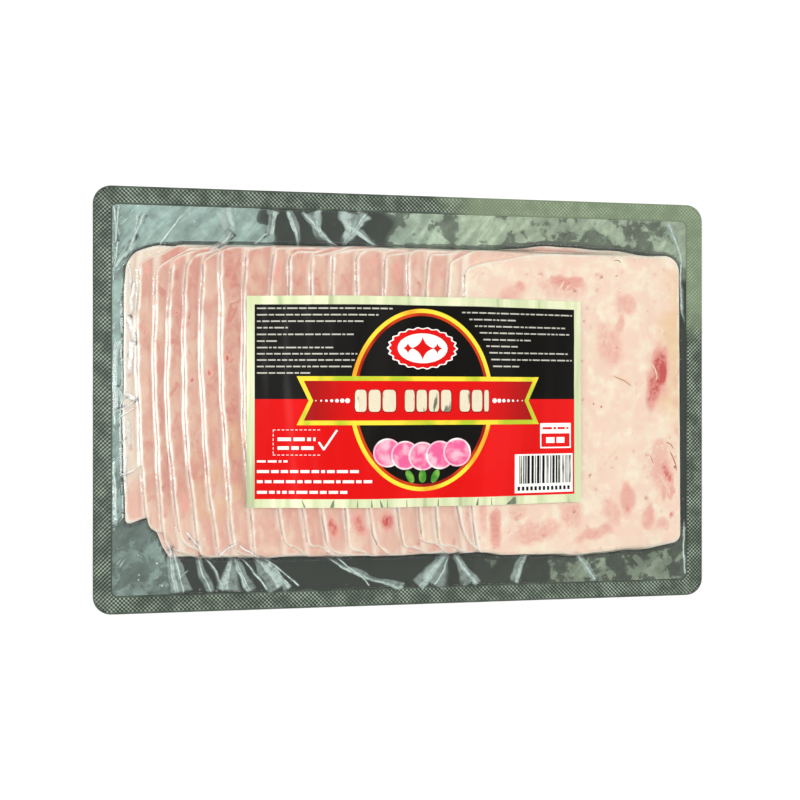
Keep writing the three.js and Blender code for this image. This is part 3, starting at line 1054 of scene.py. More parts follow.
def foldWhiteness(s, t, long, wide, seed):  # painted highlights: bright at its crest and one foot, faint on its flanks, one flank brighter than the other
    side = math.cos(1.9 * seed)
    along = lambda size, number: softNoise(t * long, s * 0 + seed, size, number)
    crest = np.exp(-(((s - folds["crestAt"] * side) * wide / folds["crestWide"]) ** 2))
    crest = crest * (0.75 + 0.25 * along(2, 64))
    foot = np.exp(-(((s - folds["footAt"] * side) * wide / folds["footWide"]) ** 2))
    foot = foot * np.clip(0.4 + along(3, 65), 0, 1)
    flank = np.where(s * side > 0.25, 0.5, 0.2) * np.clip(wide / 1.8, 0.3, 1)
    body = flank * smooth((1 - np.abs(s)) * 2.4)
    return np.clip(np.maximum(np.maximum(crest, foot), body), 0, 1) * smooth((1 - np.abs(s)) * 6)


def foldLine(sheets, start, end, heights, widths, seed, white=1.0, solid=False):
    (x0, y0), (x1, y1) = start, end  # a ridge from start to end that wanders, swells and thins out
    long = math.hypot(x1 - x0, y1 - y0)
    steps = int(long / folds["along"]) + 3
    t, s = np.meshgrid(np.linspace(0, 1, steps), np.linspace(-1, 1, folds["across"]))
    nx, ny = -(y1 - y0) / long, (x1 - x0) / long
    wander = folds["wander"] * softNoise(t * long + 17 * seed, 0 * t, 3.5, 61)
    wander = wander * smooth(t * 6) * smooth((1 - t) * 6)
    wide = lerp(*widths, t) * (1 + folds["uneven"] * softNoise(t * long, 0 * t + 9 * seed, 4, 62))
    bow = folds["bow"] * long * (4 * t * (1 - t)) * math.sin(2.7 * seed)
    aside = s * wide + wander + bow
    x, y = lerp(x0, x1, t) + nx * aside, lerp(y0, y1, t) + ny * aside
    rise = lerp(*heights, t) * 0.5 * np.clip(1 - np.abs(s), 0, 1) ** 1.3
    z = filmTop(x, y) + folds["gap"] + folds["apart"] * (seed % 7) + rise
    ends = smooth(t * long / 1.2) * smooth((1 - t) * long / (0.3 * long + 1))
    share = smooth((1 - np.abs(s)) * 1.3) if solid else foldWhiteness(s, t, long, wide, seed)
    warmth = smooth((stackHeight(x, y) - pack["hamGround"]) / ham["thick"])
    under = np.dstack([x, y, z - folds["thick"]])
    sheets.add(np.dstack([x, y, z]), under, white=white * ends * share, warm=warmth)


# painted shade lines along the foot of each step
stepShade = {"before": 0.42, "wide": 0.2, "above": 0.05, "thick": 0.02, "strength": 0.68, "step": 0.7}


def stepShadeLine(sheets, piece):  # painted shade: the thin grey line at the foot of a step, where the film comes down onto the slice
    y = np.arange(piece["bottom"][0] + 3.0, piece["top"][0] - 2.0, stepShade["step"])
    seed = 11 * piece["i"]
    x = sideLine(piece, y) - stepShade["before"] + 0.12 * softNoise(y + seed, 0 * y, 6, 66)
    wide = stepShade["wide"] + 0.07 * softNoise(y + seed, 0 * y, 5, 67)
    s = np.linspace(-1, 1, 5)[:, None]
    x, y = x + s * wide, y + 0 * s
    z = filmTop(x, y) + stepShade["above"]
    patchy = np.clip(0.6 + 0.8 * softNoise(y + seed, 0 * y, 9, 68), 0.1, 1)
    share = stepShade["strength"] * (1 - np.abs(s)) ** 0.5 * patchy
    sheets.add(np.dstack([x, y, z]), np.dstack([x, y, z - stepShade["thick"]]), white=share, warm=0 * share)


def filmFolds():
    sheets = Patches("film_folds", foldMaterial("folded_film", "cool"))
    limitX, limitY = pack["halfX"] - pack["seal"] - 0.5, pack["halfY"] - pack["seal"] - 0.5
    inPack = lambda p: (min(max(p[0], -limitX), limitX), min(max(p[1], -limitY), limitY))
    for k, (start, end, heights, widths) in enumerate(creases):
        foldLine(sheets, inPack(start), inPack(end), heights, widths, k)
    for k, (start, end, wide, white) in enumerate(glare):
        foldLine(sheets, start, end, (0.1, 0.1), (wide, wide * 0.8), 70 + k, white, True)
    rng = np.random.default_rng(71)
    for k in range(folds["streaks"]):  # small painted glints on strokes of loose film over the left part of the web
        x, y = rng.uniform(-133.5, -68), rng.choice([-1, 1]) * rng.uniform(62, 85)
        if k % 3:  # two of three lie close beside the first slice
            x, y = rng.uniform(-132.8, -130.5), rng.uniform(-60, 84)
        long, turn = rng.uniform(1.6, 7.0), math.radians(rng.uniform(35, 75))
        end = inPack((x + long * math.cos(turn), y + long * math.sin(turn)))
        if end != (x, y):
            foldLine(sheets, (x, y), end, (0.2, 0.2), (0.5, 0.4), 90 + k, rng.uniform(0.2, 0.6))
    sheets.finish("sealed_bag", "ham_under_film", 60)
    # thin lines of painted shade at the foot of each step
    feet = Patches("film_step_shade_lines", foldMaterial("step_shade_film", "stepShadeGrey"))
    for piece in slices[1:]:
        stepShadeLine(feet, piece)
    feet.finish("sealed_bag", "ham_under_film", 60)


# ---- fine marks on the top slice

marks = {  # lines through points with a half width: tendons and folds are pale, slits are brown
    "pale": [
        (((93.0, 11.6), (99.4, 10.0), (103.6, 7.0)), 0.75),
        (((113.4, 18.3), (116.3, 14.5), (117.4, 11.0), (116.8, 9.3)), 0.34),
        (((84.3, 17.5), (88.0, 15.4)), 0.4),
        (((68.4, 54.6), (66.8, 52.0), (64.8, 49.2)), 0.5),
        (((71.8, 53.4), (69.0, 50.8)), 0.3),
        (((119.2, -36.5), (121.8, -40.2), (124.0, -42.4), (124.5, -46.0)), 0.42),
        (((122.4, -23.0), (124.6, -27.0), (126.4, -31.0)), 0.5),
        (((118.6, -41.0), (118.4, -45.0), (120.6, -48.6), (123.0, -48.4)), 0.4),
        (((27.0, 54.0), (25.4, 50.5)), 0.35),
        (((31.0, 54.5), (32.4, 47.5)), 0.4),
        (((35.5, 52.0), (34.6, 46.2)), 0.4),
        (((22.6, 52.8), (26.0, 57.6)), 0.35),
        (((96.5, -22.0), (91.0, -27.5), (84.5, -36.0)), 0.5),
        (((107.5, -11.0), (103.0, -17.0)), 0.45),
    ],
    "brown": [
        (((93.5, 11.1), (99.2, 9.2), (103.3, 6.4)), 0.24),
        (((122.0, -20.0), (125.1, -21.2), (126.6, -23.6)), 0.26),
        (((124.3, -24.1), (126.2, -27.5), (127.6, -31.0), (128.0, -34.0)), 0.3),
        (((113.5, -26.1), (115.4, -30.1)), 0.2),
        (((94.0, 65.0), (96.4, 65.6), (98.0, 64.2)), 0.2),
        (((94.6, 57.8), (96.4, 58.3)), 0.18),
        (((83.3, -1.2), (83.6, -2.4)), 0.4),
        (((87.3, -2.5), (87.7, -3.8)), 0.38),
        (((55.2, 57.4), (55.4, 56.9)), 0.3),
        (((62.1, 56.7), (62.4, 56.3)), 0.3),
        (((126.8, -31.2), (127.2, -33.0)), 0.42),
    ],
}


markLooks = {  # two tints each, then the height over the slice
    "pale": (colour(252, 226, 196), colour(246, 208, 184), 0.02),
    "brown": (colour(176, 98, 66), colour(206, 136, 106), 0.045),
}


def markMaterial(key):
    n = Nodes(f"ham_mark_{key}")
    blend = n.ramp(n.noise(n.objectPlace(), 700, 3), 0.35, 0.65)
    return n.finish(n.surface(n.mix(blend, *markLooks[key][:2]), 0.5))


def smoothLine(points, step):  # evenly spaced points along a line, with its corners averaged out
    points = np.array(points)
    at = np.concatenate([[0], np.cumsum(np.hypot(*np.diff(points, axis=0).T))])
    t = np.linspace(0, at[-1], int(at[-1] / step) + 4)
    average = lambda values: np.convolve(np.pad(values, 2, "edge"), np.ones(5) / 5, "valid")
    return t / at[-1], *[average(np.interp(t, at, points[:, k])) for k in (0, 1)]


def markLines():  # flat strips along each line, tapered to both ends
    for key, (*_, lift) in markLooks.items():
        sheets = Patches(f"ham_marks_{key}", markMaterial(key))
        for points, wide in marks[key]:
            t, cx, cy = smoothLine(points, 0.4)
            dx, dy = np.gradient(cx), np.gradient(cy)
            long = np.maximum(np.hypot(dx, dy), 1e-6)
            taper = np.sqrt(np.clip(1 - (2 * t - 1) ** 2, 0.02, 1))
            s = np.linspace(-1, 1, 5)[:, None]
            x, y = cx - dy / long * wide * taper * s, cy + dx / long * wide * taper * s
            z = stackHeight(x, y) + relief(x, y) + lift
            sheets.add(np.dstack([x, y, z]), np.dstack([x, y, z - 0.05]))
        sheets.finish("sealed_bag", "ham_under_film")


# ---- label

label = {
    "width": 152.0,
    "height": 92.0,
    "x": (labelLow.x + labelHigh.x) / 2 / mm,
    "y": (labelLow.y + labelHigh.y) / 2 / mm,
    "reach": 6,
    "blur": 5,
    "above": 0.24,
    "thick": 0.25,
    "cell": 1.0,
    "margin": 2.0,
    "waves": ((0.09, 13, 21), (0.03, 5, 22)),  # height, size and seed of the foil's unevenness
    "mesh": (153, 93),
    "inkThick": 0.02,
}


def labelField():  # how high the label lies, on an even lattice that everything printed looks up
    cell, margin = label["cell"], label["margin"]
    a = np.arange(-label["width"] / 2 - margin, label["width"] / 2 + margin + 0.01, cell)
    b = np.arange(-label["height"] / 2 - margin, label["height"] / 2 + margin + 0.01, cell)
    pad = label["reach"] + label["blur"]
    wide = np.arange(a[0] - pad, a[-1] + pad + 0.01, cell)
    x, y = np.meshgrid(wide + label["x"], b + label["y"])
    rest = stackHeight(x, y) + pack["filmGap"] + pack["filmThick"]
    n = len(a)
    high = np.max([rest[:, k:k + n + 2 * label["blur"]] for k in range(2 * label["reach"] + 1)], 0)
    calm = np.mean([high[:, k:k + n] for k in range(2 * label["blur"] + 1)], 0)
    waves = sum(rise * softNoise(x, y, size, seed)[:, pad:pad + n] for rise, size, seed in label["waves"])
    return a, b, calm + label["above"] + waves


labelA, labelB, labelZ = labelField()


def onLabel(a, b, lift):  # a place on the label, in its own width and height, raised by lift
    fa = np.clip((a - labelA[0]) / label["cell"], 0, len(labelA) - 1.001)
    fb = np.clip((b - labelB[0]) / label["cell"], 0, len(labelB) - 1.001)
    ia, ib = fa.astype(int), fb.astype(int)
    ta, tb = fa - ia, fb - ib
    low = lerp(labelZ[ib, ia], labelZ[ib, ia + 1], ta)
    high = lerp(labelZ[ib + 1, ia], labelZ[ib + 1, ia + 1], ta)
    return np.dstack([a + label["x"], b + label["y"], lerp(low, high, tb) + label["thick"] + lift])


class Print(Patches):  # patches of one ink, each a thin closed sheet raised by "lift" over the label
    def __init__(self, name, material, lift):
        super().__init__(f"label_{name}", material)
        self.lift = lift

    def patch(self, a, b):
        self.add(onLabel(a, b, self.lift), onLabel(a, b, self.lift - label["inkThick"]))

    def box(self, a0, b0, a1, b1, cell=1.0):
        cols, rows = [max(2, int(abs(long) / cell) + 2) for long in (a1 - a0, b1 - b0)]
        self.patch(*np.meshgrid(np.linspace(a0, a1, cols), np.linspace(b0, b1, rows)))

    def shape(self, left, right, b0, b1, rows, cols):  # rows whose ends follow two functions of height
        t, s = np.meshgrid(np.linspace(0, 1, cols), np.linspace(0, 1, rows))
        b = lerp(b0, b1, s)
        self.patch(lerp(left(b), right(b), t), b)

    def ring(self, a0, b0, outer, inner, steps=96, rows=3):  # outer and inner half axes
        angle, t = np.meshgrid(np.radians(np.linspace(0, 360, steps + 1)), np.linspace(1, 0, rows))
        radii = [lerp(inner[k], outer[k], t) for k in (0, 1)]
        self.patch(a0 + radii[0] * np.cos(angle), b0 + radii[1] * np.sin(angle))

    def line(self, start, end, wide):
        (a0, b0), (a1, b1) = start, end
        long = math.hypot(a1 - a0, b1 - b0)
        across = (-(b1 - b0) / long * wide / 2, (a1 - a0) / long * wide / 2)
        t, s = np.meshgrid(np.linspace(0, 1, max(2, int(long) + 1)), np.array([-1.0, 1.0]))
        self.patch(lerp(a0, a1, t) + across[0] * s, lerp(b0, b1, t) + across[1] * s)

    def bars(self, b, a0, a1, tall, seed, longest, gap):  # a printed line as plain bars
        rng = np.random.default_rng(seed)
        at = a0
        while at < a1 - 0.8:
            long = min(rng.uniform(1.0, longest), a1 - at)
            self.box(at, b - tall / 2, at + long, b + tall / 2)
            at += long + gap

    def block(self, a0, b0, a1, b1, power=5.0):  # a box with soft corners, as one closed outline
        middle, half = ((a0 + a1) / 2, (b0 + b1) / 2), ((a1 - a0) / 2, (b1 - b0) / 2)
        angle, t = np.meshgrid(np.radians(np.linspace(0, 360, 49)), np.linspace(1, 0.02, 5))
        c, s = np.cos(angle), np.sin(angle)
        r = (np.abs(c) ** power + np.abs(s) ** power) ** (-1 / power) * t
        self.patch(middle[0] + half[0] * r * c, middle[1] + half[1] * r * s)

    def finish(self):
        return super().finish("label", "foil_label")


inks = {
    "foil": colour(238, 241, 201),
    "foilDim": colour(216, 226, 178),
    "foilDark": colour(120, 134, 104),
    "black": colour(14, 13, 10),
    "red": colour(215, 4, 3),
    "deepRed": colour(150, 14, 14),
    "gold": colour(250, 220, 60),
    "goldGreen": colour(178, 196, 44),
    "amber": colour(242, 160, 36),
    "orange": colour(206, 64, 14),
    "white": colour(246, 246, 240),
    "dim": colour(186, 184, 172),
    "cream": colour(248, 238, 206),
    "slate": colour(96, 98, 84),
    "pink": colour(230, 96, 148),
    "palePink": colour(248, 186, 200),
    "green": colour(60, 134, 40),
    "paleGreen": colour(120, 180, 70),
}
inkGloss = {"Specular IOR Level": 0.2}
# heights of the printed layers over the foil, far enough apart that none shows through the next
lifts = {
    "folds": 0.04, "field": 0.05, "words": 0.1, "disc": 0.13, "orange": 0.15, "gold": 0.17,
    "picture": 0.22, "ribbonEdge": 0.24, "ribbon": 0.3, "titleEdge": 0.33, "title": 0.36,
}


def foilMaterial(name, tints, darkShare, metallic, across, along):
    n = Nodes(name)  # soft folds run up the label, so the pattern is stretched along its height; its dim and dark bands are painted reflection off those folds
    light, dim, dark = [inks[key] for key in tints]
    spot = n.objectPlace()
    bands = n.noise(n.stretched(spot, across, along), 1.0, 2, 0.5, 0.4)
    brushed = n.noise(spot, 420, 4, 0.6)
    base = n.mix(n.ramp(bands, 0.36, 0.62), light, dim)
    base = n.mix(n.times(n.ramp(bands, 0.6, 0.7), darkShare), base, dark)
    wave = n.bump(n.plus(bands, n.times(brushed, 0.08)), 0.0008)
    return n.finish(n.surface(base, 0.36, wave, {"Metallic": metallic}))


def inkMaterial(name, key, other=None, across=45.0, along=6.0, roughness=0.34):  # ink in soft upright bands of a second tint; the default, lighter tint is painted sheen off the label's soft waves
    n = Nodes(name)
    tint = inks[key]
    second = inks[other] if other else tuple(min(1, c * 1.12 + 0.004) for c in tint[:3]) + (1.0,)
    bands = n.noise(n.stretched(n.objectPlace(), across, along), 1.0, 2, 0.5, 0.4)
    base = n.mix(n.ramp(bands, 0.42, 0.66), tint, second)
    return n.finish(n.surface(base, roughness, None, inkGloss))


def ribbonMaterial():  # red that darkens towards both ends of the ribbon
    n = Nodes("ribbon_red")
    away = n.math("ABSOLUTE", n.minus(n.objectX(), label["x"] * mm))
    base = n.mix(n.ramp(away, 0.026, 0.056), inks["red"], inks["deepRed"])
    return n.finish(n.surface(base, 0.34, None, inkGloss))


blackInk = inkMaterial("black_ink", "black")
redInk = inkMaterial("red_ink", "red")
whiteInk = inkMaterial("white_ink", "white", roughness=0.5)


def labelSheet():
    a, b = np.meshgrid(*[np.linspace(-1, 1, count) for count in label["mesh"]])
    a, b = a * label["width"] / 2, b * label["height"] / 2
    material = foilMaterial("silver_foil", ("foil", "foilDim", "foilDark"), 0.35, 0.2, 150.0, 14.0)
    piece = closedSheet("label_foil", onLabel(a, b, 0), onLabel(a, b, -label["thick"]), material)
    return place(piece, "label")


field = {"halfA": 72.6, "halfB": 42.2, "split": 1.2}


def colourFields():
    black, red = Print("black", blackInk, lifts["field"]), Print("red", redInk, lifts["field"])
    black.box(-field["halfA"], field["split"], field["halfA"], field["halfB"])
    red.box(-field["halfA"], -field["halfB"], field["halfA"], field["split"])
    black.finish()
    red.finish()


oval = {"b": 0.8, "half": (32.2, 39.9), "gold": 1.8, "orange": 1.3, "overlap": 0.2}


def ovalDisc():  # a black disc inside a gold and an orange ring
    b = oval["b"]
    less = lambda inset: tuple(half - inset for half in oval["half"])
    goldIn, orangeIn = oval["gold"], oval["gold"] + oval["orange"]
    gold = Print("gold", inkMaterial("ring_gold", "gold", "amber", 60.0, 50.0, 0.3), lifts["gold"])
    gold.ring(0, b, oval["half"], less(goldIn), 240, 4)
    orange = Print("orange", inkMaterial("orange_ink", "orange", "deepRed", 50.0, 20.0), lifts["orange"])
    orange.ring(0, b, less(goldIn - oval["overlap"]), less(orangeIn), 240, 4)
    disc = Print("disc", blackInk, lifts["disc"])
    disc.ring(0, b, less(orangeIn - oval["overlap"]), (0.5, 0.6), 192, 36)
    disc.box(-0.6, b - 0.7, 0.6, b + 0.7)  # closes the ring's middle
    for sheet in (gold, orange, disc):
        sheet.finish()


ribbon = {
    "b": 0.5,
    "halfA": 54.7,
    "halfB": 10.6,
    "notch": 5.1,
    "edge": 2.0,  # how far the red lies inside the gold, above and below and at its ends
    "inset": 3.1,
    "innerNotch": 3.978,
    "mesh": (25, 112),
}


def ribbonShapes():  # a red ribbon over a gold one, both notched in a V at their ends
    b, halfA, halfB = ribbon["b"], ribbon["halfA"], ribbon["halfB"]
    # the greenish bands in this gold are painted reflection off the waved foil
    gold = inkMaterial("ribbon_gold", "gold", "goldGreen", 70.0, 30.0, 0.3)
    red = (halfA - ribbon["inset"], halfB - ribbon["edge"], ribbon["innerNotch"])
    for name, lift, material, (wide, tall, notch) in (
        ("ribbon_edge", "ribbonEdge", gold, (halfA, halfB, ribbon["notch"])),
        ("ribbon", "ribbon", ribbonMaterial(), red),
    ):
        right = lambda v: wide - notch * np.clip(1 - np.abs(v - b) / tall, 0, 1)
        sheet = Print(name, material, lifts[lift])
        sheet.shape(lambda v: -right(v), right, b - tall, b + tall, *ribbon["mesh"])
        sheet.finish()


titleBlocks = [  # left end of each group and the widths of its upright blocks
    (-29.8, (5.0, 5.2, 5.8)),
    (-8.0, (4.4, 4.6, 4.6, 4.6)),
    (16.8, (4.6, 4.8, 2.2)),
]
title = {"low": 4.8, "high": 4.7, "gap": 0.9, "edge": (0.3, 0.5, 0.45, 0.2)}  # edge: left, low, right, high
titleDots = {"count": 7, "from": 46.5, "step": 2.25, "least": 0.28, "more": 0.13}


def titleShapes():  # foil blocks with a dark edge, and dots that grow towards them from either side
    b = ribbon["b"]
    edge = Print("title_edge", inkMaterial("title_edge", "deepRed"), lifts["titleEdge"])
    foil = foilMaterial("title_foil", ("cream", "cream", "slate"), 0.9, 0.35, 260.0, 90.0)
    blocks = Print("title", foil, lifts["title"])
    left, low, right, high = title["edge"]
    for at, widths in titleBlocks:
        for width in widths:
            edge.block(at - left, b - title["low"] - low, at + width + right, b + title["high"] + high)
            blocks.block(at, b - title["low"], at + width, b + title["high"])
            at += width + title["gap"]
    dots = Print("dots", whiteInk, lifts["title"])
    for side in (-1, 1):
        for k in range(titleDots["count"]):
            r = titleDots["least"] + titleDots["more"] * k
            dots.ring(side * (titleDots["from"] - titleDots["step"] * k), b, (r, r), (0.02, 0.02), 14, 2)
    for sheet in (edge, blocks, dots):
        sheet.finish()


words = {
    "left": -71.6,  # where the lines on the left begin
    "tall": 0.62,
    "longest": 4.6,  # each line is bars of at most this length, with this gap
    "gap": 0.62,
    "largeLongest": 5.2,
    "largeGap": 0.9,
}
smallLeft = [  # height on the label and right end
    (40.5, -13.4), (37.7, -18.5), (34.9, -25.4), (32.1, -58.4), (29.2, -29.7), (26.3, -61.7),
    (23.5, -37.8), (20.8, -28.8), (18.1, -29.9), (15.3, -30.6), (12.5, -48.5),
]
smallRight = [  # height on the label, left end and right end
    (39.4, 17.9, 71.5), (36.4, 21.2, 43.6), (33.5, 23.8, 68.5), (30.6, 26, 71.4), (27.6, 27.7, 51.1),
    (24.7, 29.1, 44.3), (21.8, 30.5, 69.3), (18.8, 31.4, 71.4), (15.8, 32.3, 45),
]
largeLines = [  # height on the label, right end and the bars' own height
    (-25.8, -57.9, 0.902), (-30.2, -28.1, 1.23), (-34.6, -22.3, 1.23), (-39.2, -33, 1.23),
]


def printedLines():  # plain bars in place of text, small on the black and large on the red
    small = Print("small_print", inkMaterial("pale_ink", "dim", roughness=0.5), lifts["words"])
    for k, (b, a0, a1) in enumerate([(b, words["left"], a1) for b, a1 in smallLeft] + smallRight):
        small.bars(b, a0, a1, words["tall"], 100 + k, words["longest"], words["gap"])
    small.finish()
    large = Print("large_print", whiteInk, lifts["words"])
    for k, (b, a1, tall) in enumerate(largeLines):
        large.bars(b, words["left"], a1, tall, 200 + k, words["largeLongest"], words["largeGap"])
    weightFrame(large)
    tickFrame(large)
    large.finish()


weightBox = {
    "left": 55.4,
    "right": 70.8,
    "low": -21.1,
    "middle": -14.4,
    "high": -9.7,
    "line": 0.6,
    "blocks": ((58.4, 62.6), (63.6, 67.6)),
    "blocksLow": -18.7,
    "blocksHigh": -16.1,
}


def weightFrame(sheet):  # a white heading over a framed box with two blocks, and red bars on the heading
    left, right, low, middle = [weightBox[key] for key in ("left", "right", "low", "middle")]
    line = weightBox["line"]
    sheet.box(left, middle, right, weightBox["high"])
    sheet.box(left, low, left + line, middle)
    sheet.box(right - line, low, right, middle)
    sheet.box(left, low, right, low + line)
    for a0, a1 in weightBox["blocks"]:
        sheet.box(a0, weightBox["blocksLow"], a1, weightBox["blocksHigh"])
    dashes = Print("heading_bars", redInk, lifts["picture"])
    dashes.bars(-12.0, 56.6, 69.6, 1.0, 31, 5.0, 0.8)
    dashes.finish()


tickBox = {
    "across": (-64.8, -44.0),
    "up": (-22.6, -13.0),
    "low": -23.2,
    "high": -12.3,
    "dash": 1.1,
    "step": 1.9,
    "line": 0.3,
    "tick": (((-45.2, -17.4), (-43.0, -20.8)), ((-43.2, -20.8), (-37.4, -12.2))),
    "tickWide": 0.9,
    "bars": ((-16.2, -46.6, 41), (-20.0, -47.2, 42)),  # height, right end and seed
    "barsLeft": -62.8,
    "barsTall": 1.5,
}


def tickFrame(sheet):  # a dashed frame round two plain bars, with a tick at its side
    left, dash, line = tickBox["across"][0], tickBox["dash"], tickBox["line"]
    for a in np.arange(*tickBox["across"], tickBox["step"]):
        for b in (tickBox["high"], tickBox["low"]):
            sheet.box(a, b, a + dash, b + line)
    for b in np.arange(*tickBox["up"], tickBox["step"]):
        sheet.box(left, b, left + line, b + dash)
    for start, end in tickBox["tick"]:
        sheet.line(start, end, tickBox["tickWide"])
    for b, a1, seed in tickBox["bars"]:
        sheet.bars(b, tickBox["barsLeft"], a1, tickBox["barsTall"], seed, 6.0, 1.0)


stripes = {
    "panel": (42.9, -41.1, 71.8, -23.6),
    "from": 45.0,
    "to": 70.8,
    "low": -36.9,
    "high": -24.3,
    "widths": [0.3, 0.55, 0.9, 1.2],
    "gaps": [0.3, 0.5, 0.8],
    "greyShare": 0.45,
    "dashes": 13,
    "dashFrom": 44.3,
    "dashStep": 2.06,
    "dashLong": 1.2,
    "dashLow": -40.0,
    "dashHigh": -38.2,
}


def stripeBlock():  # a white panel of upright stripes, with plain dashes below
    white = Print("panel", inkMaterial("panel_white", "white", roughness=0.5), lifts["words"])
    white.box(*stripes["panel"])
    dark = Print("stripes", blackInk, lifts["disc"])
    grey = Print("stripes_grey", inkMaterial("grey_ink", "slate", "dim", 500.0, 90.0), lifts["disc"])
    rng = np.random.default_rng(11)
    at = stripes["from"]
    while at < stripes["to"]:
        wide = rng.choice(stripes["widths"])
        sheet = grey if rng.random() < stripes["greyShare"] else dark
        sheet.box(at, stripes["low"], at + wide, stripes["high"])
        at += wide + rng.choice(stripes["gaps"])
    for k in range(stripes["dashes"]):
        a = stripes["dashFrom"] + stripes["dashStep"] * k
        dark.box(a, stripes["dashLow"], a + stripes["dashLong"], stripes["dashHigh"])
    for sheet in (white, dark, grey):
        sheet.finish()


foldSlivers = [  # painted shade of folds in the foil's lower margin: place along the label, width, lean
    (-39.5, 2.6, 0.9), (-28.6, 0.7, 0.2), (-22.6, 0.9, 0.0), (-18.7, 1.7, -0.3), (-15.6, 0.6, 0.1),
    (-7.0, 0.5, 0.0), (7.2, 0.8, 0.2), (25.0, 1.6, 0.6), (31.6, 0.5, 0.0), (41.0, 7.5, 2.4),
    (-52.0, 1.0, -0.6),
]
sliver = {"low": -45.9, "high": -42.7, "turnsAt": -44.0, "widensBelow": -42.6, "over": 3}


def foilFolds():  # painted shade: slivers that widen towards the label's lower edge
    material = inkMaterial("foil_fold_shade", "foilDark", "slate", 300.0, 40.0)
    sheet = Print("foil_folds", material, lifts["folds"])
    for at, wide, lean in foldSlivers:
        middle = lambda v: at + lean * (v - sliver["turnsAt"]) / 2
        share = lambda v: 0.1 + 0.5 * np.clip((sliver["widensBelow"] - v) / sliver["over"], 0, 1)
        right = lambda v: middle(v) + wide * share(v)
        sheet.shape(lambda v: middle(v) - 0.1, right, sliver["low"], sliver["high"], 6, 4)
    sheet.finish()


badge = {"b": 23.4, "wide": 1.72, "scallops": 22, "deep": 0.035, "angles": 145, "rings": 16}
badgeLayers = (("rim", "white", 9.0, 0.0), ("badge", "red", 8.5, 0.03), ("centre", "white", 6.5, 0.06))
stars = {"places": ((0.0, 5.2), (-6.6, 2.4), (6.6, 2.4)), "lift": 0.09}  # place along the label and size


def medallion():  # a wide scalloped badge with four-pointed stars
    b, angles = badge["b"], np.radians(np.linspace(0, 360, badge["angles"]))
    angle, t = np.meshgrid(angles, np.linspace(1, 0.02, badge["rings"]))
    for name, key, size, more in badgeLayers:
        sheet = Print(f"badge_{name}", inkMaterial(f"badge_{name}", key), lifts["picture"] + more)
        scallop = badge["deep"] * np.cos(badge["scallops"] * angle) * (name != "centre")
        r = size * (1 + scallop) * t
        sheet.patch(badge["wide"] * r * np.cos(angle), b + r * np.sin(angle))
        sheet.finish()
    star = Print("star", inkMaterial("star_red", "red"), lifts["picture"] + stars["lift"])
    for at, size in stars["places"]:
        r = size * t / (np.abs(np.cos(angle)) ** 0.7 + np.abs(np.sin(angle)) ** 0.7) ** 1.6
        star.patch(at + r * np.cos(angle), b + r * np.sin(angle))
    star.finish()


rounds = {
    "count": 5,
    "from": -15.6,
    "step": 7.8,
    "b": -22.2,
    "arch": 1.6,  # the middle one lies this much lower, the outer ones at b
    "r": 6.3,
    "rim": 0.75,
    "rise": 0.045,
    "faceRise": 0.02,
}
leaves = {
    "places": ((-5.2, -0.7), (0.0, 0.0), (5.2, 0.7)),  # place along the label and lean
    "b": -32.6,
    "half": 2.9,
    "wide": 1.7,
    "turnsAt": -34,
    "lift": 0.26,
}


def sliceDesign():  # a row of plain round slices, each on the one before, with three leaves
    pink = inkMaterial("pink_ink", "pink", "palePink", 160.0, 160.0, 0.45)
    pale = inkMaterial("pale_pink_ink", "palePink", "white", 160.0, 160.0, 0.45)
    green = inkMaterial("green_ink", "green", "paleGreen", 160.0, 160.0, 0.45)
    for k in range(rounds["count"]):
        a = rounds["from"] + rounds["step"] * k
        b = rounds["b"] - rounds["arch"] * math.cos(math.radians(45 * (k - 2)))
        lift, r = lifts["picture"] + rounds["rise"] * k, rounds["r"]
        for part, material, size, more in (
            ("rim", pale, r, 0.0),
            ("face", pink, r - rounds["rim"], rounds["faceRise"]),
        ):
            sheet = Print(f"round_{part}_{k + 1}", material, lift + more)
            sheet.ring(a, b, (size, size), (0.05, 0.05), 48, 8)
            sheet.finish()
    sheet = Print("leaves", green, lifts["picture"] + leaves["lift"])
    b, half = leaves["b"], leaves["half"]
    for at, lean in leaves["places"]:
        middle = lambda v: at + lean * (v - leaves["turnsAt"]) / 2
        wide = lambda v: leaves["wide"] * np.sqrt(np.clip(1 - ((v - b) / half) ** 2, 0.0004, 1))
        left, right = lambda v: middle(v) - wide(v), lambda v: middle(v) + wide(v)
        sheet.shape(left, right, b - half, b + half, 12, 4)
    sheet.finish()


# ---- making

camera = {"target": (-7.5, 0.0, 10.0), "distance": 450.0, "tilt": 9.5, "lens": 45.0, "sensor": 36.0}


def makeCamera():
    tilt = math.radians(camera["tilt"])
    away = np.array([-math.sin(tilt), 0, math.cos(tilt)])
    data = bpy.data.cameras.new("camera")
    data.lens, data.sensor_width = camera["lens"], camera["sensor"]
    obj = bpy.data.objects.new("camera", data)
    obj.location = (np.array(camera["target"]) + camera["distance"] * away) * mm
    obj.rotation_euler = (0, -tilt, 0)
    data.clip_start, data.clip_end = 0.01, 20
    bpy.context.scene.collection.objects.link(obj)
    bpy.context.scene.camera = obj


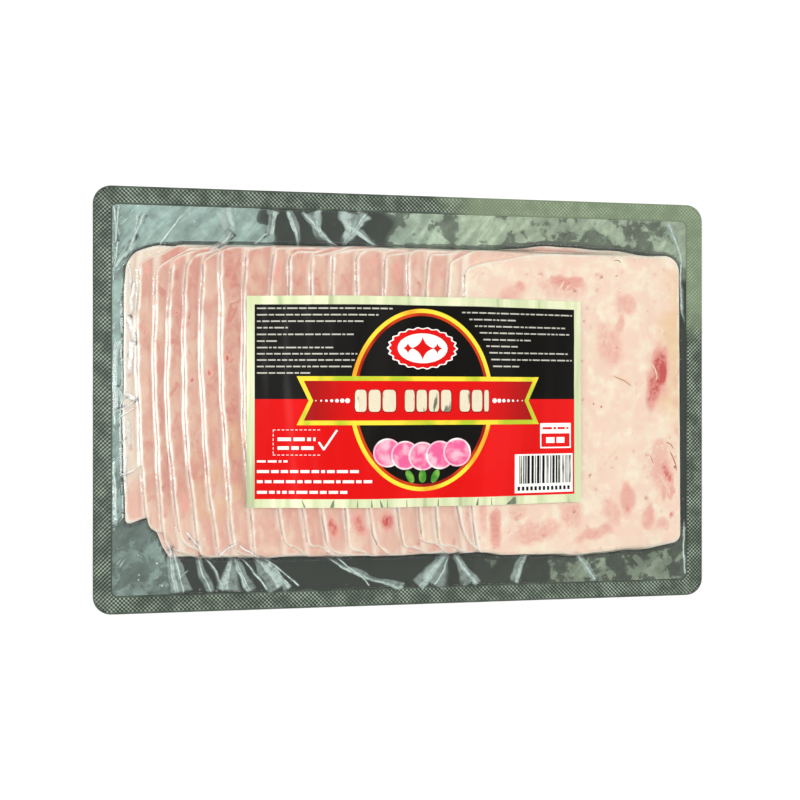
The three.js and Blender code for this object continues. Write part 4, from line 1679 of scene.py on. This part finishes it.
lights = {  # place, size, power, and whether it shows in gloss
    "left_softbox": ((-0.98, 0.0, 0.56), (0.34, 1.5), 8.0, True),
    "back_strip": ((0.0, 1.0, 0.46), (1.6, 0.1), 0.8, True),
    "front_strip": ((-0.1, -1.0, 0.42), (1.6, 0.1), 0.7, True),
    "right_fill": ((1.0, 0.1, 0.7), (0.6, 1.2), 4.0, False),
    "top_fill": ((0.25, 0.15, 1.6), (1.2, 1.2), 17.0, False),
}
studio = {"worldTint": (1.0, 1.0, 1.0, 1), "worldStrength": 0.27}


def makeLights():
    for name, (spot, size, power, glossy) in lights.items():
        data = bpy.data.lights.new(name, "AREA")
        data.shape, data.size, data.size_y = "RECTANGLE", size[0], size[1]
        data.energy = power
        obj = bpy.data.objects.new(name, data)
        obj.location = spot
        obj.rotation_euler = (-obj.location).to_track_quat("-Z", "Y").to_euler()
        obj.visible_glossy = glossy
        bpy.context.scene.collection.objects.link(obj)
    world = bpy.data.worlds.new("studio")
    bpy.context.scene.world = world
    world.use_nodes = True
    background = world.node_tree.nodes["Background"]
    background.inputs[0].default_value = studio["worldTint"]
    background.inputs[1].default_value = studio["worldStrength"]
    bpy.context.scene.view_settings.view_transform = "Standard"


ground = {"half": 2500.0, "z": -0.1, "tint": (0.92, 0.92, 0.91, 1), "roughness": 0.7}


def makeFloor():
    n = Nodes("pale_floor")
    material = n.finish(n.surface(ground["tint"], ground["roughness"]))
    half = ground["half"]
    corners = [[x, y, ground["z"]] for x, y in ((-half, -half), (half, -half), (half, half), (-half, half))]
    floor = toMesh("floor", corners, [[0, 1, 2, 3]], material)
    floor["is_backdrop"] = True


makeCamera()
makeLights()
makeFloor()
print("camera, lights and floor made")
bottomFilm()
sealBand()
print("bottom film and seal made")
hamLook = hamMaterial()
for piece in slices:
    hamSlice(piece, hamLook)
print("ham slices made")
markLines()
print("ham marks made")
clearFilm()
filmFolds()
print("clear film made")
labelSheet()
colourFields()
ovalDisc()
ribbonShapes()
titleShapes()
printedLines()
stripeBlock()
foilFolds()
medallion()
sliceDesign()
print("label made")

bpy.context.view_layer.update()
corners = [[list(map(float, corner)) for corner in box] for box in (cadBox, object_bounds())]
